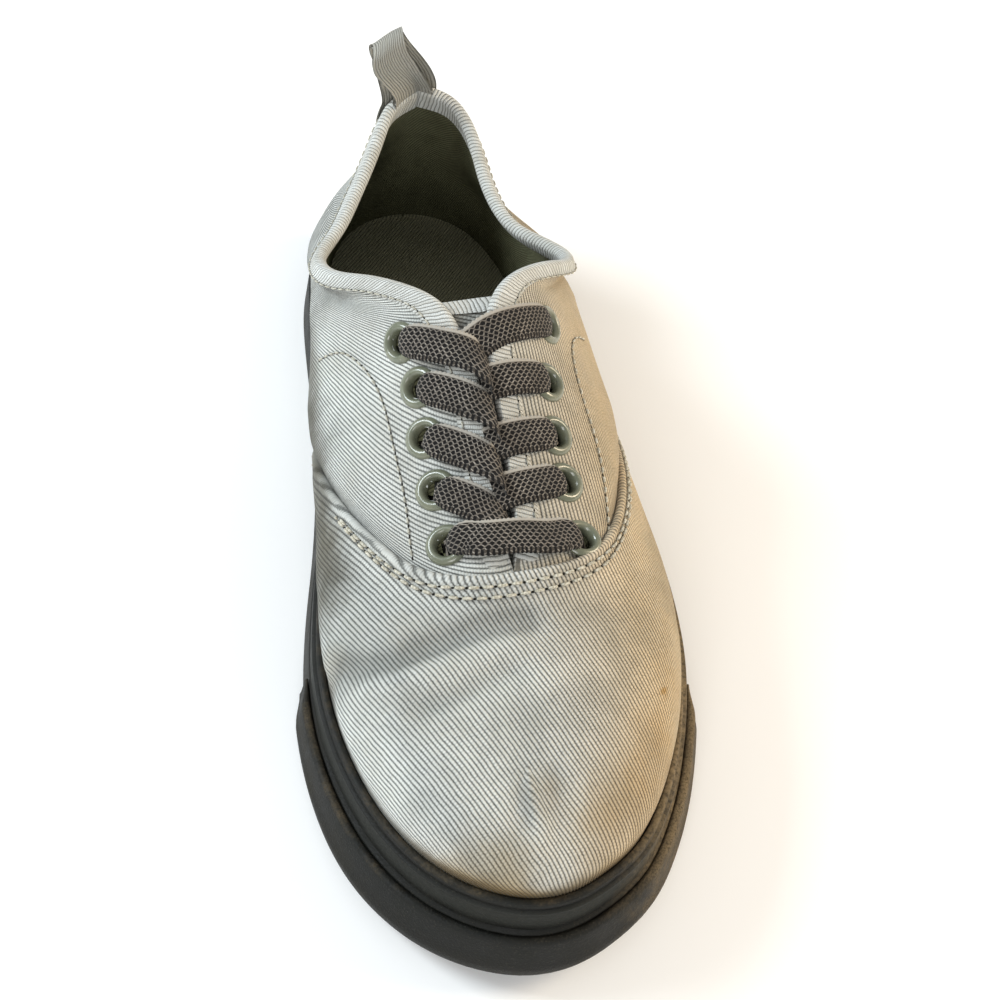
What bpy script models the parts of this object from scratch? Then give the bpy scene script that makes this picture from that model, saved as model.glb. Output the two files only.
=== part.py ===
"""A low canvas sneaker for the left foot, standing empty on its sole.

The shoe is built round a last: a closed feather line where canvas meets rubber, a ridge over the vamp, and a
top edge round throat and collar. Curved columns join them. Toe towards -Y, heel towards +Y, medial side
towards -X, floor at Z = 0, metres.
"""

import math

import bmesh
import bpy
import numpy as np
from mathutils import Matrix, Vector
from mathutils.bvhtree import BVHTree

# Driving sizes of the last
HALF_LENGTH = 0.140
BALL_HALF = 0.050
THROAT_HEIGHT = 0.095
TOE_SPRING = 0.009
ARCH_LIFT = 0.0012
HEEL_LIFT = 0.0010
BALL_LINE = -0.44
ARCH_FRONT = -0.24
ARCH_BACK = 0.44
HEEL_BREAK = 0.88
VAMP_RISE = 0.62
VAMP_REACH = 0.034
VAMP_FULLNESS = 0.0015

# Walls, layers and clearances
GAP = 0.0003
UPPER_WALL = 0.0018
VAMP_RAISE = 0.0008
FOLD_WIDTH = 0.0006
THROAT_HALF = 0.0023
BINDING_WIDTH = 0.007
BINDING_THICK = 0.0008
TONGUE_DROP = 0.0038
TONGUE_THICK = 0.0026
TONGUE_FOOT = -0.50
TONGUE_TOP = 0.172
TONGUE_HALF_FOOT = 0.40
TONGUE_HALF_TOP = 0.56
INSOLE_THICK = 0.0045
INSOLE_CUP = 0.0020

# Rubber round the shoe
RIM_TOE = 0.0260
RIM_BALL = 0.0245
RIM_HEEL = 0.0310
BED_BALL = 0.0085
BED_HEEL = 0.0115
FOXING_FOOT = 0.0008
FOXING_FLARE = 0.0058
TOE_FLARE = 0.0075
TOE_SKEW = 0.0012
BALL_SPLAY = 0.0022
LIP_WIDTH = 0.0026
LIP_HEIGHT = 0.0030
BAND_HEIGHT = 0.0080
GROOVE_HEIGHT = 0.0008
EDGE_SOFT = 0.0006
SOLE_EDGE_OUT = 0.0030
SOLE_EDGE_HEIGHT = 0.0045
BUMPER_THICK = 0.0026
BUMPER_THIN = 0.0009
BUMPER_MEDIAL_END = -0.350
BUMPER_LATERAL_END = -0.440

# Tread
TREAD_DEPTH = 0.0014
TREAD_GROOVE = 0.0024
TREAD_PITCH = 0.0120
TREAD_WAVE = 0.0055
TREAD_FRONT = -0.80
TREAD_HEEL = 0.53
FRONT_GROOVES = 8
HEEL_GROOVES = 5

# Metal, laces and tape
EYELET_FLANGE = 0.0061
EYELET_BARREL = 0.0039
EYELET_BORE = 0.0034
EYELET_HEIGHT = 0.0014
LACE_HALF = 0.0051
LACE_THICK = 0.0012
LACE_LIFT = 0.0024
LOOP_HALF = 0.0090
LOOP_THICK = 0.0012
LOOP_RISE = 0.0270
LOOP_LEAN = -0.0105
LOOP_SHIFT = -0.0030

# Feather line in plan, shares of BALL_HALF and HALF_LENGTH, from the heel's back down the medial side to
# the toe and back up the lateral side
FEATHER = [
    (0.01, 0.995), (-0.36, 0.952), (-0.58, 0.835), (-0.66, 0.665), (-0.68, 0.470), (-0.715, 0.270),
    (-0.77, 0.107), (-0.835, -0.030), (-0.90, -0.145), (-0.952, -0.257), (-0.986, -0.386), (-0.964, -0.515),
    (-0.89, -0.643), (-0.75, -0.775), (-0.52, -0.887), (-0.24, -0.950), (-0.09, -0.963), (0.09, -0.957),
    (0.29, -0.924), (0.49, -0.871), (0.68, -0.779), (0.83, -0.671), (0.94, -0.557), (1.018, -0.429),
    (1.046, -0.307), (1.044, -0.180), (1.01, -0.050), (0.955, 0.095), (0.890, 0.215), (0.815, 0.370),
    (0.755, 0.535), (0.69, 0.685), (0.595, 0.820), (0.38, 0.945),
]
TOE_POINT = 16

# Ridge of the vamp: shares of HALF_LENGTH along and THROAT_HEIGHT up
RIDGE = [(-0.757, 0.537), (-0.68, 0.572), (-0.57, 0.608), (-0.46, 0.650), (-0.405, 0.698)]
RIDGE_SHIFT = -0.08

# Top edge of the quarters from the throat's foot round to the heel: shares of BALL_HALF, HALF_LENGTH and
# THROAT_HEIGHT, then the direction in which the wall meets it: inwards, backwards and upwards
MEDIAL_EDGE = [
    (-0.046, -0.405, 0.698, 1.0, 0.0, 0.08), (-0.050, -0.286, 0.740, 1.0, 0.0, 0.12),
    (-0.060, -0.143, 0.814, 1.0, 0.0, 0.18), (-0.080, -0.021, 0.903, 1.0, 0.0, 0.22),
    (-0.150, 0.070, 0.958, 1.0, 0.0, 0.30), (-0.230, 0.132, 0.984, 0.9, 0.1, 0.50),
    (-0.380, 0.204, 0.958, 0.7, 0.1, 0.80), (-0.580, 0.282, 0.890, 0.5, 0.0, 1.0),
    (-0.750, 0.350, 0.816, 0.3, 0.0, 1.0), (-0.806, 0.429, 0.758, 0.2, 0.0, 1.0),
    (-0.740, 0.507, 0.716, 0.28, 0.0, 1.0), (-0.622, 0.584, 0.695, 0.35, 0.0, 1.0),
    (-0.510, 0.671, 0.687, 0.42, 0.0, 1.0), (-0.400, 0.756, 0.695, 0.45, -0.05, 1.0),
    (-0.280, 0.850, 0.726, 0.40, -0.10, 1.0), (-0.160, 0.921, 0.768, 0.25, -0.15, 1.0),
    (0.010, 0.951, 0.800, 0.0, -0.15, 1.0),
]
LATERAL_EDGE = [
    (0.046, -0.405, 0.698, 1.0, 0.0, 0.08), (0.054, -0.286, 0.737, 1.0, 0.0, 0.12),
    (0.052, -0.147, 0.811, 1.0, 0.0, 0.18), (0.046, -0.054, 0.874, 1.0, 0.0, 0.20),
    (0.044, 0.014, 0.921, 1.0, 0.0, 0.25), (0.064, 0.093, 0.974, 1.0, 0.0, 0.30),
    (0.140, 0.154, 1.000, 0.9, 0.1, 0.50), (0.300, 0.221, 0.974, 0.7, 0.1, 0.80),
    (0.530, 0.282, 0.911, 0.5, 0.0, 1.0), (0.676, 0.336, 0.842, 0.35, 0.0, 1.0),
    (0.700, 0.396, 0.789, 0.35, 0.0, 1.0), (0.610, 0.471, 0.742, 0.45, 0.0, 1.0),
    (0.490, 0.543, 0.708, 0.55, 0.0, 1.0), (0.416, 0.629, 0.691, 0.55, 0.0, 1.0),
    (0.380, 0.729, 0.695, 0.50, -0.05, 1.0), (0.340, 0.843, 0.737, 0.40, -0.10, 1.0),
    (0.220, 0.921, 0.779, 0.25, -0.15, 1.0), (0.010, 0.951, 0.800, 0.0, -0.15, 1.0),
]

# Where the vamp's seam starts at the rubber, share of HALF_LENGTH, and how squarely it turns across the foot:
# share of its rise at the lower handle, forward reach of both handles and inward reach of the upper one
SEAM_FOOT = {-1: 0.185, 1: 0.210}
SEAM_RISE = {-1: 0.47, 1: 0.62}
SEAM_FORWARD = {-1: 0.012, 1: 0.016}
SEAM_TURN = {-1: 0.40, 1: 0.14}
SEAM_REACH = {-1: 0.034, 1: 0.044}

# Fullness of the quarter's wall, by share along HALF_LENGTH: metres outwards on each side at the lower
# handle of a column
QUARTER_FULLNESS = [(0.1, 0.017, 0.000), (0.2, 0.021, 0.003), (0.3, 0.023, 0.009), (0.5, 0.018, 0.013),
                    (0.7, 0.009, 0.007), (0.9, 0.003, 0.002), (1.0, 0.0, 0.0)]

# Eyelet centres, shares of BALL_HALF and HALF_LENGTH, from the toe up
MEDIAL_EYELETS = [(-0.330, -0.310), (-0.347, -0.194), (-0.369, -0.086), (-0.374, 0.012), (-0.440, 0.112)]
LATERAL_EYELETS = [(0.421, -0.320), (0.380, -0.200), (0.365, -0.104), (0.371, 0.008), (0.440, 0.148)]

# Counts that set how fine the facets are
VAMP_COLUMNS = 12
QUARTER_COLUMNS = 17
WALL_ROWS = 8
ROUND_SIDES = 10


def smooth(x):
    """Rise from 0 to 1 with level ends."""
    x = np.clip(x, 0.0, 1.0)
    return x * x * (3.0 - 2.0 * x)


def spline(points, closed=False):
    """Cubic curve with an even bend through the points, read by shares of chord length."""
    p = np.asarray(points, float)
    if closed:
        p = np.vstack([p, p[:1]])
    chord = np.linalg.norm(np.diff(p, axis=0), axis=1)
    knots = np.concatenate([[0.0], np.cumsum(chord)]) / chord.sum()
    step = np.diff(knots)
    slope = np.diff(p, axis=0) / step[:, None]
    count = len(p) - 1 if closed else len(p)
    matrix = np.eye(count)
    right = np.zeros((count, p.shape[1]))
    for i in range(count):
        if not closed and i in (0, count - 1):
            continue
        before = (i - 1) % (len(p) - 1)
        matrix[i] = 0.0
        matrix[i, before] = step[before]
        matrix[i, i] = 2.0 * (step[before] + step[i])
        matrix[i, (i + 1) % count] += step[i]
        right[i] = 6.0 * (slope[i] - slope[before])
    bend = np.linalg.solve(matrix, right)
    if closed:
        bend = np.vstack([bend, bend[:1]])

    def read(t):
        t = np.asarray(t, float)
        t = t % 1.0 if closed else np.clip(t, 0.0, 1.0)
        k = np.clip(np.searchsorted(knots, t, side="right") - 1, 0, len(step) - 1)
        h = step[k][..., None]
        a = (knots[k + 1] - t)[..., None]
        b = (t - knots[k])[..., None]
        curved = (bend[k] * a**3 + bend[k + 1] * b**3) / (6.0 * h)
        return curved + (p[k] / h - bend[k] * h / 6.0) * a + (p[k + 1] / h - bend[k + 1] * h / 6.0) * b

    read.knots = knots
    return read


def unit(vectors):
    return vectors / np.linalg.norm(vectors, axis=-1, keepdims=True)


PLAN_SIZE = np.array([BALL_HALF, HALF_LENGTH])
feather_curve = spline(np.array(FEATHER) * PLAN_SIZE, closed=True)
TOE_SHARE = feather_curve.knots[TOE_POINT]


def feather(side, a):
    """Plan point of the feather line: a is 0 at the toe's tip and 1 at the heel's back."""
    a = np.asarray(a, float)
    return feather_curve(TOE_SHARE * (1.0 - a) if side < 0 else TOE_SHARE + a * (1.0 - TOE_SHARE))


def feather_at(side, y):
    """Share a of the feather line at a given place along the shoe."""
    a = np.linspace(0.02, 0.98, 400)
    return np.interp(y, feather(side, a)[:, 1], a)


def ground(y):
    """Height of the sole's underside: spring at the toe, a low arch, and a lift behind the heel."""
    share = np.asarray(y, float) / HALF_LENGTH
    toe = np.clip((BALL_LINE - share) / (BALL_LINE + 1.03), 0.0, 1.0) ** 1.8
    arch = np.clip((share - ARCH_FRONT) / (ARCH_BACK - ARCH_FRONT), 0.0, 1.0)
    heel = np.clip((share - HEEL_BREAK) / (1.04 - HEEL_BREAK), 0.0, 1.0) ** 2
    return TOE_SPRING * toe + ARCH_LIFT * np.sin(math.pi * arch) ** 2 + HEEL_LIFT * heel


def rim(y):
    """Height of the foxing's top edge."""
    share = np.asarray(y, float) / HALF_LENGTH
    toe = smooth((-0.45 - share) / 0.5)
    heel = smooth((share + 0.1) / 1.0)
    return ground(y) + RIM_BALL + (RIM_TOE - RIM_BALL) * toe + (RIM_HEEL - RIM_BALL) * heel


def bed(y):
    """Height of the outsole's upper face, on which the insole lies."""
    share = np.asarray(y, float) / HALF_LENGTH
    return ground(y) + BED_BALL + (BED_HEEL - BED_BALL) * smooth((share + 0.3) / 0.9)


ridge_curve = spline(np.array(RIDGE) * [HALF_LENGTH, THROAT_HEIGHT])
RIDGE_POINTS = ridge_curve(np.linspace(0.0, 1.0, 120))
TOE_FAN = RIDGE[0][0] * HALF_LENGTH
THROAT_FOOT = RIDGE[-1][0] * HALF_LENGTH


def ridge(y):
    """Point of the vamp's ridge, which drifts to the medial side towards the toe."""
    drift = np.clip((THROAT_FOOT - y) / (THROAT_FOOT - TOE_FAN), 0.0, 1.0)
    x = RIDGE_SHIFT * BALL_HALF * drift**1.3
    return np.stack([x, y, np.interp(y, RIDGE_POINTS[:, 0], RIDGE_POINTS[:, 1])], -1)


def feet(side, a):
    """Lowest points of the columns, on the feather line at the foxing's top edge."""
    plan = feather(side, a)
    return np.concatenate([plan, (rim(plan[..., 1]) + GAP)[..., None]], -1)


def seam_foot(side):
    return feather_at(side, SEAM_FOOT[side] * HALF_LENGTH)


def outward(side, a):
    """Unit normal of the feather line in plan, away from the foot."""
    reach = 1e-3
    along = (feather(side, np.asarray(a) + reach) - feather(side, np.asarray(a) - reach)) * side
    return unit(np.stack([along[..., 1], -along[..., 0]], -1))


def vamp_handles(side, share):
    """Four handles of each vamp column, from the toe at share 0 to the seam at share 1."""
    a = share * seam_foot(side)
    start = feet(side, a)
    y = TOE_FAN + (THROAT_FOOT - TOE_FAN) * share**1.25
    end = ridge(y)
    rise = (end - start)[..., 2]
    across = (end - start)[..., :2]
    fan = np.clip(1.0 - share / 0.55, 0.0, 1.0)
    heading = unit(np.stack([across[..., 0], np.maximum(across[..., 1], 0.0) * fan], -1))
    swing = smooth((share - 0.40) / 0.60)
    heading[:, 1] += SEAM_TURN[side] * swing
    slope = (ridge(y + 0.001) - ridge(y - 0.001)) / 0.002
    sideways = heading[:, 0] + heading[:, 1] * slope[:, 0]
    arrive = np.stack([sideways, heading[:, 1], heading[:, 1] * slope[:, 2]], -1)
    longest = VAMP_REACH + (SEAM_REACH[side] - VAMP_REACH) * swing
    reach = np.minimum(np.linalg.norm(across, axis=-1) * 0.62, longest)
    seam_fullness = QUARTER_FULLNESS[0][1 if side < 0 else 2]
    out = outward(side, a) * (VAMP_FULLNESS + (seam_fullness - VAMP_FULLNESS) * swing)[:, None]
    up = (VAMP_RISE + (SEAM_RISE[side] - VAMP_RISE) * swing) * rise
    lean = np.stack([out[:, 0], out[:, 1] - SEAM_FORWARD[side] * swing, up], -1)
    return start, start + lean, end - arrive * reach[:, None], end


def edge_curve(side):
    table = np.array(MEDIAL_EDGE if side < 0 else LATERAL_EDGE)
    curve = spline(table[:, :3] * [BALL_HALF, HALF_LENGTH, THROAT_HEIGHT])
    return curve, table[:, 3:]


def quarter_handles(side, share):
    """Four handles of each quarter column, from the seam at share 0 to the heel's back at share 1."""
    first = seam_foot(side)
    a = first + (1.0 - first) * share
    start = feet(side, a)
    curve, ways = edge_curve(side)
    end = curve(share)
    swing = 1.0 - smooth(share / 0.32)
    arrive = np.stack([np.interp(share, curve.knots, ways[:, i]) for i in range(3)], -1)
    arrive[:, 0] *= -side
    arrive = unit(arrive) + np.array([0.0, 1.0, 0.45]) * SEAM_TURN[side] * swing[:, None]
    rise = (end - start)[..., 2]
    across = np.linalg.norm((end - start)[..., :2], axis=-1)
    low = smooth(share / 0.45)
    table = np.array(QUARTER_FULLNESS)
    full = np.interp(start[:, 1] / HALF_LENGTH, table[:, 0], table[:, 1 if side < 0 else 2])
    out = outward(side, a) * full[:, None]
    up = rise * (SEAM_RISE[side] + (0.38 - SEAM_RISE[side]) * low)
    lean = np.stack([out[:, 0], out[:, 1] - SEAM_FORWARD[side] * swing, up], -1)
    reach = (1.0 - low) * np.minimum(across * 0.60, SEAM_REACH[side]) + low * rise * 0.35
    return start, start + lean, end - arrive * reach[:, None], end


def columns(handles, cut):
    """Rows of points up each column: even steps, then the binding's two rows at the top edge."""
    p0, p1, p2, p3 = (h[:, None, :] for h in handles)
    v = np.linspace(0.0, 1.0, 80)[None, :, None]
    dense = (1 - v) ** 3 * p0 + 3 * (1 - v) ** 2 * v * p1 + 3 * (1 - v) * v**2 * p2 + v**3 * p3
    run = np.concatenate(
        [np.zeros((len(dense), 1)), np.cumsum(np.linalg.norm(np.diff(dense, axis=1), axis=2), axis=1)], 1
    )
    grid = []
    for points, length in zip(dense, run):
        top = length[-1] - cut
        wanted = np.concatenate(
            [np.linspace(0.0, top - BINDING_WIDTH, WALL_ROWS), [top - BINDING_WIDTH / 2, top, length[-1]]]
        )
        grid.append(np.stack([np.interp(wanted, length, points[:, i]) for i in range(3)], -1))
    return np.array(grid)


VAMP_SHARES = np.linspace(0.0, 1.0, VAMP_COLUMNS) ** 1.2
QUARTER_SHARES = np.linspace(0.0, 1.0, QUARTER_COLUMNS + 1)[1:]


def half_grid(side):
    """Columns of one side from the toe to the heel, and the vamp's ridge points."""
    vamp = columns(vamp_handles(side, VAMP_SHARES), THROAT_HALF)
    quarter = columns(quarter_handles(side, QUARTER_SHARES), 0.0)[:, :-1]
    fold = vamp[-1, :-1] + unit(quarter[0] - vamp[-1, :-1]) * FOLD_WIDTH
    return np.concatenate([vamp[:, :-1], fold[None], quarter]), vamp[:, -1]


def margin(grid):
    """The wall's lower rows, tucked inside the foxing down to the outsole."""
    foot = grid[:, 0]
    low = foot.copy()
    low[:, 2] = bed(foot[:, 1]) + GAP
    middle = foot.copy()
    middle[:, 2] = rim(foot[:, 1]) - LIP_HEIGHT
    return np.concatenate([low[:, None], middle[:, None], grid], 1)


def ring_of(medial, lateral):
    """One closed ring of columns: toe, medial side, heel, lateral side. Toe and heel are shared."""
    return np.concatenate([medial, lateral[-2:0:-1]])


def surface_normals(ring):
    """Outward normals of a ring of columns."""
    around = np.roll(ring, -1, 0) - np.roll(ring, 1, 0)
    up = np.gradient(ring, axis=1)
    flat = np.cross(up, around)
    return unit(flat)


# Building blocks for the objects
def principled(name, color, roughness, metallic=0.0):
    material = bpy.data.materials.new(name)
    material.use_nodes = True
    shader = material.node_tree.nodes["Principled BSDF"]
    shader.inputs["Base Color"].default_value = (*color, 1.0)
    shader.inputs["Roughness"].default_value = roughness
    shader.inputs["Metallic"].default_value = metallic
    material.diffuse_color = (*color, 1.0)
    return material


def add_object(name, points, faces, material, sharp=40.0):
    """One closed body from points and faces, with its faces turned outwards."""
    mesh = bpy.data.meshes.new(name)
    body = bmesh.new()
    verts = [body.verts.new(Vector(p) - ORIGIN) for p in points]
    for face in faces:
        body.faces.new([verts[i] for i in face])
    bmesh.ops.recalc_face_normals(body, faces=body.faces)
    body.to_mesh(mesh)
    body.free()
    mesh.shade_smooth()
    mesh.set_sharp_from_angle(angle=math.radians(sharp))
    mesh.materials.append(material)
    obj = bpy.data.objects.new(name, mesh)
    bpy.context.scene.collection.objects.link(obj)
    return obj


def quads(rows, cols, closed_rows, closed_cols):
    """Faces of a grid of points numbered row by row."""
    faces = []
    for i in range(rows if closed_rows else rows - 1):
        for j in range(cols if closed_cols else cols - 1):
            i2 = (i + 1) % rows
            j2 = (j + 1) % cols
            faces.append((i * cols + j, i2 * cols + j, i2 * cols + j2, i * cols + j2))
    return faces


def add_loft(name, sections, material, closed=False, sharp=40.0):
    """A solid through closed sections, either a ring or a bar with its ends capped."""
    count, width = sections.shape[:2]
    faces = quads(count, width, closed, True)
    if not closed:
        faces.append(tuple(range(width)))
        faces.append(tuple((count - 1) * width + i for i in reversed(range(width))))
    return add_object(name, sections.reshape(-1, 3), faces, material, sharp)


def boundary(faces):
    """Edges that only one face uses, in that face's own direction."""
    used = {}
    for face in faces:
        for a, b in zip(face, face[1:] + face[:1]):
            used[(a, b)] = True
    return [(a, b) for a, b in used if (b, a) not in used]


def add_shell(name, outer, inner, faces, material, sharp=40.0):
    """A wall between two like surfaces, closed round every open edge."""
    count = len(outer)
    whole = list(faces)
    whole += [tuple(i + count for i in reversed(face)) for face in faces]
    whole += [(b, a, a + count, b + count) for a, b in boundary(faces)]
    return add_object(name, np.concatenate([outer, inner]), whole, material, sharp)


# The ring of stations that every piece round the shoe shares
def side_stations(side):
    first = seam_foot(side)
    quarter = first + (1.0 - first) * QUARTER_SHARES
    return np.concatenate([VAMP_SHARES * first, quarter])


def ring_stations():
    """Feather points and outward normals at every station round the shoe."""
    plans = []
    for side in (-1, 1):
        a = side_stations(side)
        plans.append((feather(side, a), outward(side, a)))
    points = ring_of(plans[0][0], plans[1][0])
    normals = ring_of(plans[0][1], plans[1][1])
    return points, normals


STATION_POINTS, STATION_NORMALS = ring_stations()
HALF_COUNT = VAMP_COLUMNS + QUARTER_COLUMNS


def ring_section(outs, heights):
    """Points at distances out from the feather line and heights, for every station."""
    outs = np.stack([np.broadcast_to(out, len(STATION_POINTS)) for out in outs], -1)
    plan = STATION_POINTS[:, None] + STATION_NORMALS[:, None] * outs[..., None]
    return np.concatenate([plan, heights[..., None]], -1)


def foxing_outs():
    """Distances out from the feather line down the rim's outer face: more at the toe, splayed at the ball."""
    share = STATION_POINTS[:, 1] / HALF_LENGTH
    lateral = smooth(STATION_POINTS[:, 0] / BALL_HALF + 0.2)
    splay = BALL_SPLAY * lateral * np.exp(-(((share + 0.28) / 0.30) ** 2))
    toe = smooth((-0.35 - share) / 0.45)
    skew = -TOE_SKEW * STATION_POINTS[:, 0] / BALL_HALF
    flare = FOXING_FLARE + (TOE_FLARE - FOXING_FLARE + skew) * toe + splay
    return {
        "foot": flare - 0.0004,
        "low": flare,
        "under_groove": LIP_WIDTH + 0.0012 + 0.30 * (flare - LIP_WIDTH - 0.0012) + 0.5 * splay,
        "groove": LIP_WIDTH + 0.0006 + 0.8 * splay,
        "band_low": LIP_WIDTH + 0.0014 + 0.9 * splay,
        "band_high": LIP_WIDTH + 0.0006 + 0.4 * splay,
        "line": LIP_WIDTH + 0.0011 + 0.3 * splay,
        "lip": LIP_WIDTH,
    }


def band_foot(y):
    """Height of the smooth band's lower edge, where the groove runs."""
    return rim(y) - LIP_HEIGHT - BAND_HEIGHT


def add_foxing(material):
    y = STATION_POINTS[:, 1]
    top = rim(y)
    foot = ground(y) + FOXING_FOOT
    ledge = ground(y) + SOLE_EDGE_HEIGHT + GAP
    outs = foxing_outs()
    profile = [
        (GAP, ledge), (GAP, top), (0.45 * LIP_WIDTH, top), (0.85 * LIP_WIDTH, top - EDGE_SOFT),
        (outs["lip"], top - 0.0016), (outs["lip"], top - LIP_HEIGHT + EDGE_SOFT),
        (outs["line"], top - LIP_HEIGHT + 0.0002), (outs["line"], top - LIP_HEIGHT - EDGE_SOFT),
        (outs["band_high"], top - LIP_HEIGHT - 0.0010), (outs["band_low"], band_foot(y)),
        (outs["groove"], band_foot(y) - 0.0003), (outs["groove"], band_foot(y) - GROOVE_HEIGHT),
        (outs["under_groove"], band_foot(y) - GROOVE_HEIGHT - 0.0003), (outs["low"], foot + 0.0016),
        (outs["foot"], foot), (SOLE_EDGE_OUT + GAP, foot), (SOLE_EDGE_OUT + GAP, ledge),
    ]
    sections = ring_section([p[0] for p in profile], np.stack([p[1] for p in profile], -1))
    return add_loft("foxing", sections, material, closed=True, sharp=25.0)


def slab(name, levels, crown, material, sharp=40.0):
    """A solid plate inside the ring: levels are (distance out, height) from its upper to its lower edge."""
    rings = [ring_section([out], height[:, None])[:, 0] for out, height in levels]
    count = len(STATION_POINTS)
    points = np.concatenate(rings)
    faces = []
    for k in range(len(rings) - 1):
        for j in range(count):
            j2 = (j + 1) % count
            faces.append((k * count + j, k * count + j2, (k + 1) * count + j2, (k + 1) * count + j))
    for ring_start, ring, lift in ((0, rings[0], crown), ((len(rings) - 1) * count, rings[-1], 0.0)):
        inner = {}
        extra = []
        for j in range(1, HALF_COUNT - 1):
            a = ring[j]
            b = ring[count - j]
            for k, share in enumerate((0.12, 0.5, 0.88)):
                point = a + (b - a) * share
                point[2] -= lift * (1.0 if share == 0.5 else 0.9)
                inner[j, k] = len(points) + len(extra)
                extra.append(point)
        points = np.concatenate([points, extra])

        def line(j):
            return [ring_start + j] + [inner[j, k] for k in range(3)] + [ring_start + count - j]

        for j in range(1, HALF_COUNT - 2):
            one = line(j)
            two = line(j + 1)
            for k in range(4):
                faces.append((one[k], one[k + 1], two[k + 1], two[k]))
        for tip, j in ((0, 1), (HALF_COUNT - 1, HALF_COUNT - 2)):
            row = line(j)
            for k in range(4):
                faces.append((ring_start + tip, row[k], row[k + 1]))
    return add_object(name, points, faces, material, sharp)


def add_tread_cutter():
    """Waved grooves under forefoot and heel, as one hidden cutter of separate bars."""
    body = bmesh.new()
    step = TREAD_PITCH / HALF_LENGTH
    places = [TREAD_FRONT + step * k for k in range(FRONT_GROOVES)]
    places += [TREAD_HEEL + step * k for k in range(HEEL_GROOVES)]
    reach = BALL_HALF * 1.5
    waves = 8
    for share in places:
        y = share * HALF_LENGTH
        base = float(ground(y))
        low = []
        high = []
        for k in range(waves + 1):
            x = -reach + 2.0 * reach * k / waves
            wave = TREAD_WAVE * (0.5 if k % 2 else -0.5)
            for way in (-0.5, 0.5):
                spot = Vector((x, y + wave + way * TREAD_GROOVE, base))
                low.append(body.verts.new(spot + Vector((0, 0, -0.004)) - ORIGIN))
                high.append(body.verts.new(spot + Vector((0, 0, TREAD_DEPTH)) - ORIGIN))
        for k in range(waves):
            a, b, c, d = 2 * k, 2 * k + 1, 2 * k + 3, 2 * k + 2
            body.faces.new((low[a], low[b], low[c], low[d]))
            body.faces.new((high[a], high[d], high[c], high[b]))
            body.faces.new((low[a], low[d], high[d], high[a]))
            body.faces.new((low[b], high[b], high[c], low[c]))
        last = 2 * waves
        body.faces.new((low[0], high[0], high[1], low[1]))
        body.faces.new((low[last], low[last + 1], high[last + 1], high[last]))
    bmesh.ops.recalc_face_normals(body, faces=body.faces)
    mesh = bpy.data.meshes.new("tread_cutter")
    body.to_mesh(mesh)
    body.free()
    cutter = bpy.data.objects.new("tread_cutter", mesh)
    cutter.hide_render = True
    cutter.display_type = "WIRE"
    bpy.context.scene.collection.objects.link(cutter)
    return cutter


def add_outsole(material):
    y = STATION_POINTS[:, 1]
    ledge = ground(y) + SOLE_EDGE_HEIGHT
    levels = [(0.0, bed(y)), (0.0, ledge), (SOLE_EDGE_OUT, ledge), (SOLE_EDGE_OUT, ground(y) + EDGE_SOFT),
              (SOLE_EDGE_OUT - EDGE_SOFT, ground(y))]
    sole = slab("outsole", levels, 0.0, material)
    grooves = sole.modifiers.new("tread", "BOOLEAN")
    grooves.operation = "DIFFERENCE"
    grooves.object = add_tread_cutter()
    return sole


def add_insole(material):
    y = STATION_POINTS[:, 1]
    low = bed(y) + GAP
    out = -(UPPER_WALL + GAP)
    levels = [(out - 0.0008, low + INSOLE_THICK), (out, low + INSOLE_THICK - 0.0008), (out, low)]
    return slab("insole", levels, INSOLE_CUP, material)


def add_bumper(material):
    """Strip round the toe outside the foxing's lower band, thinning out at both ends."""
    y = STATION_POINTS[:, 1]
    outs = foxing_outs()
    top = band_foot(y) - GROOVE_HEIGHT - 0.0003
    foot = ground(y) + FOXING_FOOT
    count = len(y)
    order = np.arange(-HALF_COUNT + 2, HALF_COUNT - 1)
    along = y[order % count] / HALF_LENGTH
    first = np.interp(-BUMPER_LATERAL_END, -along[: HALF_COUNT - 1], np.arange(HALF_COUNT - 1))
    middle = HALF_COUNT - 2
    last = middle + np.interp(BUMPER_MEDIAL_END, along[middle:], np.arange(len(along) - middle))
    inside = [outs["under_groove"] + GAP, outs["low"] + GAP]
    whole = np.arange(math.ceil(first + 0.15), math.floor(last - 0.15) + 1)
    places = np.concatenate([[first], whole, [last]])
    thin = np.clip(np.minimum(places - first, last - places) / 0.9, 0.0, 1.0)
    sections = []
    for place, share in zip(places, thin):
        thick = BUMPER_THIN + (BUMPER_THICK - BUMPER_THIN) * share
        profile = [
            (inside[0], top - 0.0003), (inside[0] + 0.55 * thick, top), (inside[0] + thick, top - 0.0010),
            (inside[1] + thick, foot + 0.0060), (inside[1] + thick, foot + 0.0012),
            (inside[1] + thick - EDGE_SOFT, foot), (inside[1], foot), (inside[1], foot + 0.0016),
        ]
        ring = ring_section([p[0] for p in profile], np.stack([p[1] for p in profile], -1))
        low = int(math.floor(place))
        mix = place - low
        a = ring[order[low] % count]
        b = ring[order[min(low + 1, len(order) - 1)] % count]
        sections.append(a + (b - a) * mix)
    return add_loft("toe_bumper", np.array(sections), material, sharp=30.0)


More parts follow.
